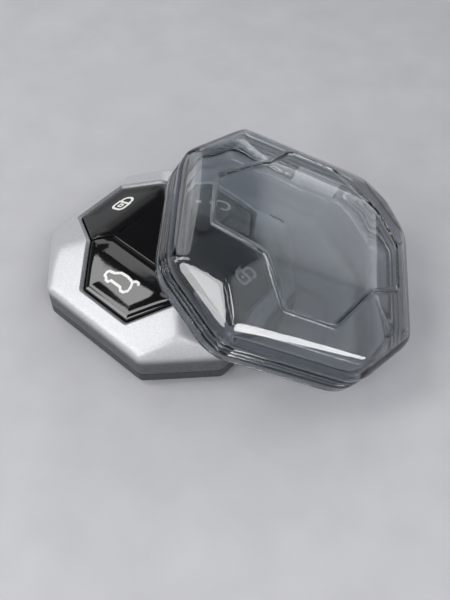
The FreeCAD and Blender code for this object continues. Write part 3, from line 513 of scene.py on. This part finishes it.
frontShell = {
    "soft": 0.35, "holeRound": 1.2, "cornerRound": 2.6,
    "ceilingZ": 11.0, "partingZ": 4.4, "partingRound": 0.22, "wall": 1.6,
    "lipWide": 0.9, "lipDeep": 0.75, "lipBend": 1.3,  # bevelled lip round the panel, drawn in the grey of painted shade
    "edgeRound": 1.7, "edgeDrop": 1.5,  # rounded outer edge of the ring
    "window": ((2.05, 20.0, 2.25), (15.15, 32.0, 5.15)),  # where the key head passes
    "ways": 480, "sharp": 38, "topRings": 14, "edgeRings": 8,
    "lipShares": (0.12, 0.3, 0.5, 0.7, 0.88, 1.0), "wallShares": (0.35, 0.7, 1.0),
    "partingShares": (0.5, 1.0),
}


def ringHeight(x, y):
    return crownHeight(x, y, 0.0, fob["topZ"], frontShell["soft"])


def makeFrontShell():
    size = frontShell
    hole = panelCorners()
    holeLine = roundCorners(hole, size["holeRound"])
    outer = roundCorners(octagonCorners(0.0), size["cornerRound"])
    angles = waysRound(panelMiddle, size["ways"], holeLine, outer)
    rings = []

    def holeReach(inset):
        outline = roundCorners(insetCorners(hole, inset), size["holeRound"])
        return reachAlong(outline, panelMiddle, angles)

    def outerReach(grow):
        outline = roundCorners(octagonCorners(grow), size["cornerRound"])
        return reachAlong(outline, panelMiddle, angles)

    def ring(reach, height):
        rings.append(ringAt(panelMiddle, angles, reach, height))

    ring(holeReach(0.0), size["ceilingZ"])
    ring(holeReach(0.0), lambda x, y: ringHeight(x, y) - size["lipDeep"])
    for share in size["lipShares"]:
        drop = size["lipDeep"] * (1 - share) ** size["lipBend"]
        ring(holeReach(-size["lipWide"] * share), lambda x, y: ringHeight(x, y) - drop)
    lipRows = len(rings) - 1
    inner = holeReach(-size["lipWide"])
    outerStart = outerReach(-size["edgeRound"])
    for share in evenShares(size["topRings"]):
        ring(inner + (outerStart - inner) * share, ringHeight)
    edgeTop = rings[-1][:, 2]
    outline = outerReach(0.0)
    edgeMiddle = ringAt(panelMiddle, angles, outline, ringHeight)[:, 2]
    for share in evenShares(size["edgeRings"]):
        height = bezier(edgeTop, edgeMiddle, edgeMiddle - size["edgeDrop"], share)
        ring(outerReach(-size["edgeRound"] * (1 - share) ** 2), height)
    wallTop = rings[-1][:, 2]
    for share in size["wallShares"]:
        ring(outline, wallTop + (size["partingZ"] + size["partingRound"] - wallTop) * share)
    for share in size["partingShares"]:
        ring(outerReach(-size["partingRound"] * share ** 2),
             size["partingZ"] + size["partingRound"] * (1 - share))
    ring(outerReach(-size["wall"]), size["partingZ"])
    ring(outerReach(-size["wall"]), size["ceilingZ"])
    # the lip rows take the mid-grey of painted shade
    zones = [1] * lipRows + [0] * (len(rings) - lipRows)
    shell = loft("front_shell_silver", rings, size["sharp"], zones=zones)
    cutBox(shell, *size["window"])
    for material in (silverLacquer, lipPaintedShadeLacquer):
        shell.data.materials.append(material)
    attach(shell, "fob")
    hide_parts("fob_front_shell")


makeFrontShell()
print("front shell made")


# Gloss black buttons and the plate between them

button = {
    "soft": 0.45, "cornerRound": 0.9, "plateRound": 0.4, "lowZ": 10.0, "waistGapShare": 1.2,
    "rollWide": 1.7, "rollDeep": 0.6,  # rolled edge towards the silver ring
    "joinWide": 0.22, "joinDeep": 0.2,  # small round towards the neighbours
    "dish": 0.21, "dishStart": 0.6, "dishWide": 2.8,  # hollow of each face, from within the roll
    "ways": 220, "sharp": 50,
    "shares": (0.06, 0.16, 0.26, 0.36, 0.45, 0.53, 0.6, 0.66, 0.715, 0.765, 0.81, 0.845,
               0.87, 0.892, 0.912, 0.93, 0.945, 0.958, 0.969, 0.978, 0.986, 0.993, 0.998, 1.0),
}
turns = {"unlock": 0, "start": 1, "lock": 2, "tailgate": 3}


def buttonCorners(name):
    gap = panel["gap"]
    here, there = ("X", "Y") if turns[name] % 2 == 0 else ("Y", "X")
    lobe = (panel["reach" + here] - gap, panel["lobeHalf"] - gap)
    waist = (panel["notch" + here], panel["notch" + there] - gap * button["waistGapShare"])
    heel = (panel["plate" + here] + gap, panel["plate" + there])
    corners = [lobe, waist, heel] + [(x, -y) for x, y in (heel, waist, lobe)]
    angle = math.pi / 2 * turns[name]
    turned = []
    for x, y in corners:
        acrossX = x * math.cos(angle) - y * math.sin(angle)
        alongY = x * math.sin(angle) + y * math.cos(angle)
        turned.append((acrossX, alongY + panel["shift"]))
    return np.array(turned)


def rolled(away, wide, deep):  # how far an edge has dropped, as a quarter of an ellipse
    bend = np.clip(1 - away / wide, 0, 1)
    return deep * (1 - np.sqrt(1 - bend * bend + tiny))


def faceHeight(corners, x, y, dish):
    height = crownHeight(x, y, -panel["sink"], fob["topZ"] - panel["sink"], button["soft"])
    around = awayFrom(corners, x, y, True)
    height = height - rolled(around, button["joinWide"], button["joinDeep"])
    if dish:  # a button: its first two and last two corners are towards the ring
        ring = awayFrom(corners[[4, 5, 0, 1]], x, y)
        height = height - rolled(ring, button["rollWide"], button["rollDeep"])
        dishAway = around - button["rollWide"] * button["dishStart"]
        height = height - dish * smoothStep(dishAway / button["dishWide"])
    return height


def makeCap(name, corners, dish):
    outline = roundCorners(corners, button["cornerRound" if dish else "plateRound"])
    middle = corners.mean(0)
    angles = waysRound(middle, button["ways"], outline)
    reach = reachAlong(outline, middle, angles)

    def height(x, y):
        return faceHeight(corners, x, y, dish)

    rings = [ringAt(middle, angles, reach * share, height) for share in button["shares"]]
    edge = rings[-1][:, 2]
    rings.append(ringAt(middle, angles, reach, (edge + button["lowZ"]) / 2))
    rings.append(ringAt(middle, angles, reach, button["lowZ"]))
    top = (*middle, float(height(middle[0:1], middle[1:2])[0]))
    under = (*middle, button["lowZ"])
    cap = loft(name, rings, button["sharp"], startPole=top, endPole=under)
    cap.data.materials.append(pianoBlack)
    return cap


for name in turns:
    cap = makeCap(name + "_button_face", buttonCorners(name), button["dish"])
    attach(cap, name + "_button")
    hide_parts("button_" + name)
plateQuarter = [(panel["plateX"], panel["plateY"])]
plate = makeCap("middle_plate_face", fourfold(plateQuarter, panel["shift"]), 0.0)
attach(plate, "fob")
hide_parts("centre_plate")
print("buttons made")


# White signs on the buttons

signs = {
    "stroke": 0.62, "stand": 0.03, "deep": 0.12, "step": 0.3,
    "mitre": 0.5,  # keeps the outside of a sharp bend from running out to a spike
    "sharp": 30,
    "places": {"lock": (-19.4, 2.6), "unlock": (20.2, 5.0),
               "tailgate": (-0.1, -16.6), "start": (0.2, 19.2)},
}


def arc(middle, radius, start, end, count=14):
    points = []
    for angle in np.radians(np.linspace(start, end, count)):
        x = middle[0] + radius[0] * math.cos(angle)
        y = middle[1] + radius[1] * math.sin(angle)
        points.append((x, y))
    return points


# each stroke: its points from the sign's place, whether it closes, and its share of the width
strokes = {
    "lock": [
        ([(-1.85, 0.45), (-1.85, -1.4)] + arc((-0.75, -1.5), (1.1, 1.15), 180, 270, 6)
         + arc((0.75, -1.5), (1.1, 1.15), 270, 360, 6) + [(1.85, 0.45)], True, 1.1),
        ([(-1.55, 0.45)] + arc((0.0, 1.3), (1.55, 1.5), 180, 0) + [(1.55, 0.45)], False, 1.1),
        ([(-0.5, -0.4), (-0.5, -1.5), (0.5, -1.5), (0.5, -0.4)], True, 0.7),
    ],
    "unlock": [
        ([(-1.7, 0.3), (-1.7, -1.1)] + arc((-0.7, -1.2), (1.0, 1.0), 180, 270, 6)
         + arc((0.7, -1.2), (1.0, 1.0), 270, 360, 6) + [(1.7, 0.3)], True, 1.15),
        ([(-1.2, 0.3)] + arc((0.3, 1.6), (1.5, 1.2), 180, 0) + [(1.8, 1.0)], False, 1.15),
        ([(-0.4, -0.75), (0.4, -0.75)], False, 1.5),
    ],
    "tailgate": [
        ([(2.3, 1.5), (0.3, 1.85), (-1.7, 1.7), (-3.2, 0.75), (-4.7, 0.5), (-5.1, -0.1),
          (-5.0, -0.9), (-4.3, -1.15), (-4.0, -1.6), (-3.2, -1.7), (-2.7, -1.05), (0.5, -1.05),
          (1.1, -1.65), (2.0, -1.55), (2.8, -0.75), (2.8, 0.3)], True, 1.0),
        ([(2.3, 1.5), (3.0, 2.1), (3.8, 2.1), (4.2, 1.6)], False, 1.0),
    ],
    "start": [
        (arc((0.0, 0.0), (2.3, 2.2), 225, -20, 26) + [(1.7, -1.25), (1.0, -1.1)], False, 1.25),
    ],
}


def ribbon(path, width, closed, height):
    # A flat stroke that follows the face under it, as a closed solid.
    corners = [np.array(point) for point in path]
    ends = corners + corners[:1] if closed else corners
    fine = []
    for start, end in zip(ends, ends[1:]):
        steps = max(1, int(math.ceil(np.linalg.norm(end - start) / signs["step"])))
        fine += [start + (end - start) * step / steps for step in range(steps)]
    if not closed:
        fine.append(ends[-1])
    fine = np.array(fine)
    ahead = np.roll(fine, -1, axis=0) - fine
    if not closed:
        ahead[-1] = ahead[-2]
    behind = np.roll(ahead, 1, axis=0)
    if not closed:
        behind[0] = ahead[0]
    ahead = leftOf(ahead)
    behind = leftOf(behind)
    share = np.maximum(1 + (ahead * behind).sum(1), signs["mitre"])
    side = (ahead + behind) * (width / 2) / share[:, None]
    left = fine + side
    right = fine - side
    rows = []
    for line, lift in ((left, signs["stand"]), (right, signs["stand"]),
                       (right, -signs["deep"]), (left, -signs["deep"])):
        rows.append(np.c_[line, height(line[:, 0], line[:, 1]) + lift])
    points = np.stack(rows, 1).reshape(-1, 3)
    count = len(fine)
    faces = []
    for index in range(count if closed else count - 1):
        low = 4 * index
        high = 4 * ((index + 1) % count)
        for step in range(4):
            following = (step + 1) % 4
            faces.append((low + step, low + following, high + following, high + step))
    if not closed:
        faces.append((0, 1, 2, 3))
        faces.append(tuple(4 * (count - 1) + step for step in range(4)))
    return points, faces


def makeSign(name):
    corners = buttonCorners(name)
    placeX, placeY = signs["places"][name]
    points = np.zeros((0, 3))
    faces = []
    for path, closed, share in strokes[name]:
        shifted = [(x + placeX, y + placeY) for x, y in path]
        more, moreFaces = ribbon(shifted, signs["stroke"] * share, closed,
                                 lambda x, y: faceHeight(corners, x, y, button["dish"]))
        faces += [tuple(index + len(points) for index in face) for face in moreFaces]
        points = np.concatenate([points, more])
    sign = newPiece(name + "_sign", points, faces, signs["sharp"])
    sign.data.materials.append(whiteInk)
    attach(sign, name + "_button")


for name in strokes:
    makeSign(name)
print("signs made")


# Clear smoke cover in two halves, drawn closed round the fob and then laid across it

cover = {
    "grow": 1.95, "cornerRound": 11.0, "seamCorner": 6.0, "footCorner": 3.0, "roundSteps": 12,
    "lift": 1.75, "topZ": 19.65, "rimZ": 10.45, "rimRise": 0.89, "soft": 0.34,
    "insideLift": 0.8, "insideTopZ": 18.7, "insideEdge": 1.45, "insideRound": 2.2, "fit": 0.45,
    "edgeRound": 1.0, "edgeDrop": 0.9,
    "beadInset": 1.3, "beadWide": 0.9, "beadHigh": 0.45, "beadRound": 1.6,
    "grooves": (7.7, 6.2, 4.7), "grooveWide": 0.7, "grooveDeep": 0.5,
    "seamZ": 2.5, "seamRound": 0.15, "rebateGrow": 1.25, "rebateZ": 4.2,
    "tongueGrow": 1.15, "tongueZ": 4.1, "tongueRound": 0.15,
    "baseZ": -1.2, "baseBevel": 3.2, "floorZ": -0.4, "floorBevel": 1.9,
    "bend": 0.6, "bendShare": 0.7,  # rounding at both ends of the base's bevel
    "window": ((1.7, 20.0, 1.9), (15.5, 36.0, 5.5)),  # where the keyring tab sticks out
    "origin": (25.5447, 11.4418, 16.0859), "lean": 28.5, "toward": 22.9, "spin": 38.6,
    "ways": 420, "frontSharp": 60, "backSharp": 50,
}
coverRings = {  # how the rings that make up the two halves are spaced
    "crown": (0.06, 0.14, 0.22, 0.3, 0.38, 0.46, 0.54, 0.62, 0.7, 0.78, 0.85, 0.91, 0.96, 1.0),
    "bead": ((0.08, 0.2), (0.18, 0.62), (0.32, 0.93), (0.5, 1.0),  # share across, share of height
             (0.68, 0.93), (0.82, 0.62), (0.92, 0.2), (1.0, 0.0)),
    "slope": 18, "edge": 6, "bend": 5,
    "groove": ((1.16, 0.0), (1.0, 0.14), (0.86, 0.62), (0.5, 1.0),  # share across, share of depth
               (0.14, 0.62), (0.0, 0.14), (-0.16, 0.0)),
    "seam": (0.0, 0.5, 1.0),
    "inside": (1.0, 0.985, 0.97, 0.955, 0.94, 0.92, 0.9, 0.86, 0.8,
               0.72, 0.64, 0.56, 0.48, 0.4, 0.3, 0.2, 0.1),
    "base": (-24.0, -18.0, -12.0, -7.0, -3.5), "floor": (-4.0, -8.0, -13.0, -18.0, -24.0),
}


def coverPlace():
    toward = math.radians(cover["toward"])
    axis = Vector((-math.sin(toward), math.cos(toward), 0.0))
    lean = Matrix.Rotation(math.radians(cover["lean"]), 4, axis)
    spin = Matrix.Rotation(math.radians(cover["spin"]), 4, "Z")
    return Matrix.Translation(Vector(cover["origin"]) * millimetre) @ lean @ spin


def coverHeight(x, y):
    rimX = cover["rimZ"] + cover["rimRise"] * (fob["halfX"] + cover["grow"] - np.abs(x))
    rimY = cover["rimZ"] + cover["rimRise"] * (fob["halfY"] + cover["grow"] - np.abs(y))
    return crownHeight(x, y, cover["lift"], cover["topZ"], cover["soft"], rimX, rimY)


def insideHeight(x, y):
    steep = 1 + fob["crownRise"]
    edge = fob["edgeZ"] + cover["insideLift"] - cover["insideEdge"]
    edgeX = edge + steep * (fob["halfX"] + cover["fit"] - np.abs(x))
    edgeY = edge + steep * (fob["halfY"] + cover["fit"] - np.abs(y))
    return crownHeight(x, y, cover["insideLift"], cover["insideTopZ"], cover["soft"], edgeX, edgeY)


def coverOutline(grow, radius):
    return roundCorners(octagonCorners(grow), radius, cover["roundSteps"])


def beadOutline(inset):
    return roundCorners(insetCorners(panelCorners(), inset), cover["beadRound"])


def coverWays():
    outer = coverOutline(cover["grow"], cover["cornerRound"])
    return waysRound(panelMiddle, cover["ways"], outer, beadOutline(cover["beadInset"]))


def makeCoverFront(place):
    size = cover
    angles = coverWays()
    rings = []

    def beadReach(inset):
        return reachAlong(beadOutline(inset), panelMiddle, angles)

    def outerReach(grow, radius=size["cornerRound"]):
        return reachAlong(coverOutline(grow, radius), panelMiddle, angles)

    def ring(reach, height):
        rings.append(ringAt(panelMiddle, angles, reach, height))

    beadInner = beadReach(size["beadInset"] + size["beadWide"])
    beadOuter = beadReach(size["beadInset"])
    for share in coverRings["crown"]:
        ring(beadInner * share, coverHeight)
    for share, high in coverRings["bead"]:
        ring(beadInner + (beadOuter - beadInner) * share,
             lambda x, y: coverHeight(x, y) + size["beadHigh"] * high)
    edgeStart = outerReach(size["grow"] - size["edgeRound"])
    for share in evenShares(coverRings["slope"]):
        ring(beadOuter + (edgeStart - beadOuter) * share, coverHeight)
    edgeTop = rings[-1][:, 2]
    outline = outerReach(size["grow"])
    edgeMiddle = ringAt(panelMiddle, angles, outline, coverHeight)[:, 2]
    for share in evenShares(coverRings["edge"]):
        height = bezier(edgeTop, edgeMiddle, edgeMiddle - size["edgeDrop"], share)
        ring(outerReach(size["grow"] - size["edgeRound"] * (1 - share) ** 2), height)
    for low in size["grooves"]:
        for share, deep in coverRings["groove"]:
            ring(outerReach(size["grow"] - size["grooveDeep"] * deep),
                 low + size["grooveWide"] * share)
    for share in coverRings["seam"]:
        ring(outerReach(size["grow"] - size["seamRound"] * share ** 2),
             size["seamZ"] + size["seamRound"] * (1 - share))
    rebate = outerReach(size["rebateGrow"], size["seamCorner"])
    ring(rebate, size["seamZ"])
    ring(rebate, size["rebateZ"])
    inside = outerReach(size["fit"], size["insideRound"])
    ring(inside, size["rebateZ"])
    ring(inside, (size["rebateZ"] + size["rimZ"]) / 2)
    for share in coverRings["inside"]:
        ring(inside * share, insideHeight)
    top = (*panelMiddle, size["topZ"])
    under = (*panelMiddle, size["insideTopZ"])
    front = loft("cover_front_clear", rings, size["frontSharp"],
                 startPole=top, endPole=under, place=place)
    cutBox(front, *size["window"], place)
    front.data.materials.append(smokeClear)
    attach(front, "front_cover")
    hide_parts("cover_front")


def makeCoverBack(place):
    size = cover
    angles = coverWays()
    rings = []

    def ring(grow, height, radius=size["cornerRound"]):
        reach = reachAlong(coverOutline(grow, radius), panelMiddle, angles)
        rings.append(ringAt(panelMiddle, angles, reach, height))

    foot = size["grow"] - size["baseBevel"]
    shoulder = size["baseZ"] + size["baseBevel"]
    bend = size["bend"]
    slope = bend * size["bendShare"]
    for grow in coverRings["base"]:
        ring(grow, size["baseZ"], size["footCorner"])
    for share in np.linspace(0, 1, coverRings["bend"]):
        step = bezier(-bend, 0.0, slope, share)
        rise = bezier(0.0, 0.0, slope, share)
        ring(foot + step, size["baseZ"] + rise, size["footCorner"])
    for share in np.linspace(0, 1, coverRings["bend"]):
        step = bezier(-slope, 0.0, 0.0, share)
        rise = bezier(-slope, 0.0, size["seamZ"] - shoulder - size["seamRound"], share)
        ring(size["grow"] + step, shoulder + rise)
    ring(size["grow"] - size["seamRound"], size["seamZ"])
    ring(size["tongueGrow"], size["seamZ"], size["seamCorner"])
    ring(size["tongueGrow"], size["tongueZ"] - size["tongueRound"], size["seamCorner"])
    ring(size["tongueGrow"] - size["tongueRound"], size["tongueZ"], size["seamCorner"])
    ring(size["fit"], size["tongueZ"], size["insideRound"])
    ring(size["fit"], size["floorZ"] + size["floorBevel"], size["insideRound"])
    ring(size["fit"] - size["floorBevel"], size["floorZ"], size["insideRound"])
    for grow in coverRings["floor"]:
        ring(grow, size["floorZ"], size["insideRound"])
    under = (*panelMiddle, size["baseZ"])
    top = (*panelMiddle, size["floorZ"])
    back = loft("cover_back_clear", rings, size["backSharp"],
                startPole=under, endPole=top, place=place)
    cutBox(back, *size["window"], place)
    back.data.materials.append(smokeClear)
    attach(back, "back_cover")
    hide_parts("cover_back")


makeCoverFront(coverPlace())
makeCoverBack(coverPlace())
print("cover made")


# Solids that stay: their finish, and how far the edges that show are softened

kept = {
    # the back shell's dark grey is painted shade
    "fob_back_shell": (backShellPaintedShadeLacquer, 0.35),
    "battery_door": (blackAbs, 0.2),
    "key_head": (blackAbs, 0.3),
    "key_blade": (nickelSteel, 0.1), "key_pin": (nickelSteel, 0.1),
    "case_screw_1": (nickelSteel, 0.08), "case_screw_2": (nickelSteel, 0.08),
    "case_screw_3": (nickelSteel, 0.08), "case_screw_4": (nickelSteel, 0.08),
    "shell_gasket": (siliconeRubber, 0.0), "keypad_seal": (siliconeRubber, 0.0),
    "inner_frame": (blackAbs, 0.0), "button_carrier": (blackAbs, 0.0),
    "controller_chip": (blackAbs, 0.0),
    "switch_lock": (blackAbs, 0.0), "switch_unlock": (blackAbs, 0.0),
    "switch_start": (blackAbs, 0.0), "switch_tailgate": (blackAbs, 0.0),
    "circuit_board": (boardGreen, 0.0), "antenna_coil": (ferrite, 0.0),
    "coin_cell": (nickelSteel, 0.0),
    "contact_positive": (tinnedBronze, 0.0), "contact_negative": (tinnedBronze, 0.0),
}
softEdges = {"weld": 0.002, "flatAngle": 1.0, "edgeAngle": 28, "segments": 3}
for name, (material, soft) in kept.items():
    solid = nodes[name]
    solid.data.materials.clear()
    solid.data.materials.append(material)
    if soft:
        weld = solid.modifiers.new("join", "WELD")
        weld.merge_threshold = softEdges["weld"] * millimetre
        flat = solid.modifiers.new("flats", "DECIMATE")
        flat.decimate_type = "DISSOLVE"
        flat.angle_limit = math.radians(softEdges["flatAngle"])
        edge = solid.modifiers.new("softEdges", "BEVEL")
        edge.width = soft * millimetre
        edge.segments = softEdges["segments"]
        edge.limit_method = "ANGLE"
        edge.angle_limit = math.radians(softEdges["edgeAngle"])
        shade = solid.modifiers.new("shade", "WEIGHTED_NORMAL")
        shade.keep_sharp = True
print("solids dressed")


# Floor, light and camera

backdrop = {
    "colour": "#dcdddf", "pale": 0.72,
    "fadeFrom": 0.2, "fadeTo": 0.55,  # metres from the fob: the floor takes on the backdrop's tone
}
sheet = {
    "dark": "#b4b4b8", "body": "#bbbbbf", "mottle": 14.0, "detail": 5.0, "rough": 0.85,
    "radius": 6.0, "segments": 64,  # metres
    "drop": 0.1,  # millimetres under the fob
}


def seenRays(tree):
    # 1 for what the eye, a mirror or clear plastic sees, 0 for light on its way to a surface.
    path = addNode(tree, "ShaderNodeLightPath")
    mirrored = addNode(tree, "ShaderNodeMath", {
        0: path.outputs["Is Glossy Ray"],
        1: path.outputs["Is Transmission Ray"]}, operation="MAXIMUM")
    seen = addNode(tree, "ShaderNodeMath", {
        0: path.outputs["Is Camera Ray"], 1: mirrored.outputs["Value"]}, operation="MAXIMUM")
    return seen.outputs["Value"]


def paperFloor():
    # Pale matt paper with a faint mottle, which runs into the backdrop's own tone far from the fob.
    material, tree, where = newMaterial("paperSweepMatt")
    mottle = addNode(tree, "ShaderNodeTexNoise", {
        "Vector": where, "Scale": perMillimetre(sheet["mottle"]), "Detail": sheet["detail"]})
    tones = addNode(tree, "ShaderNodeValToRGB", {"Fac": mottle.outputs["Fac"]}, stops=(
        (noiseLow, hexColour(sheet["dark"])), (noiseHigh, hexColour(sheet["body"]))))
    paper = addNode(tree, "ShaderNodeBsdfPrincipled", {
        "Base Color": tones.outputs["Color"], "Roughness": sheet["rough"]})
    plain = addNode(tree, "ShaderNodeEmission", {
        "Color": hexColour(backdrop["colour"]), "Strength": backdrop["pale"]})
    far = addNode(tree, "ShaderNodeVectorMath", {0: where}, operation="LENGTH")
    fade = addNode(tree, "ShaderNodeMapRange", {
        "Value": far.outputs["Value"], "From Min": backdrop["fadeFrom"],
        "From Max": backdrop["fadeTo"]}, interpolation_type="SMOOTHSTEP")
    share = addNode(tree, "ShaderNodeMath", {
        0: fade.outputs["Result"], 1: seenRays(tree)}, operation="MULTIPLY")
    shader = addNode(tree, "ShaderNodeMixShader", {
        0: share.outputs["Value"], 1: paper.outputs["BSDF"], 2: plain.outputs["Emission"]})
    addNode(tree, "ShaderNodeOutputMaterial", {"Surface": shader.outputs["Shader"]})
    return material


work = bmesh.new()
bmesh.ops.create_circle(work, cap_ends=True, segments=sheet["segments"], radius=sheet["radius"])
floorMesh = bpy.data.meshes.new("floor")
work.to_mesh(floorMesh)
work.free()
floor = bpy.data.objects.new("floor", floorMesh)
floor.location.z = -sheet["drop"] * millimetre
scene.collection.objects.link(floor)
floor.data.materials.append(paperFloor())


def wayTo(azimuth, elevation):  # degrees: azimuth 0 is towards -y and 90 towards +x
    turn = math.radians(azimuth)
    tilt = math.radians(elevation)
    flat = math.cos(tilt)
    return Vector((math.sin(turn) * flat, -math.cos(turn) * flat, math.sin(tilt)))


studio = {
    # azimuth, elevation, distance in metres, width and height in metres, watts, outline
    "keyBox": (-50, 55, 0.50, 0.15, 0.21, 0.58, "RECTANGLE"),
    "rimBox": (-36, 32, 0.50, 0.11, 0.18, 0.44, "RECTANGLE"),
    "facetBox": (0, 37, 0.45, 0.15, 0.15, 0.56, "RECTANGLE"),
    "edgeStrip": (82, 19, 0.45, 0.20, 0.055, 0.34, "ELLIPSE"),
    "ridgeBox": (62, 45, 0.45, 0.09, 0.17, 0.34, "ELLIPSE"),
    "leftBox": (-101, 46, 0.50, 0.16, 0.24, 0.24, "RECTANGLE"),
}
aimAt = Vector((0.014, 0.005, 0.010))
for name, (azimuth, elevation, far, wide, high, watts, outline) in studio.items():
    lamp = bpy.data.lights.new(name, "AREA")
    lamp.shape = outline
    lamp.size = wide
    lamp.size_y = high
    lamp.energy = watts
    way = wayTo(azimuth, elevation)
    holder = bpy.data.objects.new(name, lamp)
    holder.location = aimAt + way * far
    holder.rotation_euler = (-way).to_track_quat("-Z", "Y").to_euler()
    scene.collection.objects.link(holder)

# a dim room with two soft bright ends, which the planes of the cover's crown mirror as a veil
roomLight = 0.26
ceiling = {"from": 14, "to": 36, "pale": 0.12}  # degrees up: from the backdrop to a dim ceiling
brightEnds = (
    {"azimuth": 176, "elevation": 12, "near": 12, "far": 54, "bright": 2.1},
    {"azimuth": 110, "elevation": 34, "near": 8, "far": 30, "bright": 1.5},
)
room = bpy.data.worlds.new("room")
room.use_nodes = True
tree = room.node_tree
tree.nodes.clear()
gaze = addNode(tree, "ShaderNodeTexCoord").outputs["Generated"]
camera = addNode(tree, "ShaderNodeLightPath").outputs["Is Camera Ray"]
up = addNode(tree, "ShaderNodeSeparateXYZ", {"Vector": gaze})
sweep = addNode(tree, "ShaderNodeMapRange", {
    "Value": up.outputs["Z"], "From Min": math.sin(math.radians(ceiling["from"])),
    "From Max": math.sin(math.radians(ceiling["to"])),
    "To Min": backdrop["pale"], "To Max": ceiling["pale"]}, interpolation_type="SMOOTHSTEP")
plainRoom = addNode(tree, "ShaderNodeMapRange", {
    "Value": seenRays(tree), "To Min": roomLight, "To Max": sweep.outputs["Result"]})
strength = plainRoom.outputs["Result"]
for brightEnd in brightEnds:
    toward = addNode(tree, "ShaderNodeVectorMath", {
        0: gaze, 1: wayTo(brightEnd["azimuth"], brightEnd["elevation"])}, operation="DOT_PRODUCT")
    bright = addNode(tree, "ShaderNodeMapRange", {  # the eye itself sees the plain backdrop
        "Value": camera, "To Min": brightEnd["bright"], "To Max": 0.0})
    lobe = addNode(tree, "ShaderNodeMapRange", {
        "Value": toward.outputs["Value"],
        "From Min": math.cos(math.radians(brightEnd["far"])),
        "From Max": math.cos(math.radians(brightEnd["near"])),
        "To Min": 0.0, "To Max": bright.outputs["Result"]}, interpolation_type="SMOOTHSTEP")
    added = addNode(tree, "ShaderNodeMath", {
        0: strength, 1: lobe.outputs["Result"]}, operation="ADD")
    strength = added.outputs["Value"]
glow = addNode(tree, "ShaderNodeBackground", {
    "Color": hexColour(backdrop["colour"]), "Strength": strength})
addNode(tree, "ShaderNodeOutputWorld", {"Surface": glow.outputs["Background"]})
scene.world = room

view = {
    "lens": 46.08, "sensor": 36.0, "near": 0.01,
    "from": (0.09632, -0.08840, 0.16005), "at": (0.01410, 0.00515, 0.0),  # metres
}
eye = bpy.data.cameras.new("eye")
eye.sensor_fit = "VERTICAL"
eye.sensor_height = view["sensor"]
eye.lens = view["lens"]
eye.clip_start = view["near"]
eyeHolder = bpy.data.objects.new("eye", eye)
eyeHolder.location = view["from"]
gazeWay = Vector(view["at"]) - eyeHolder.location
eyeHolder.rotation_euler = gazeWay.to_track_quat("-Z", "Y").to_euler()
scene.collection.objects.link(eyeHolder)
scene.camera = eyeHolder
print("studio ready")
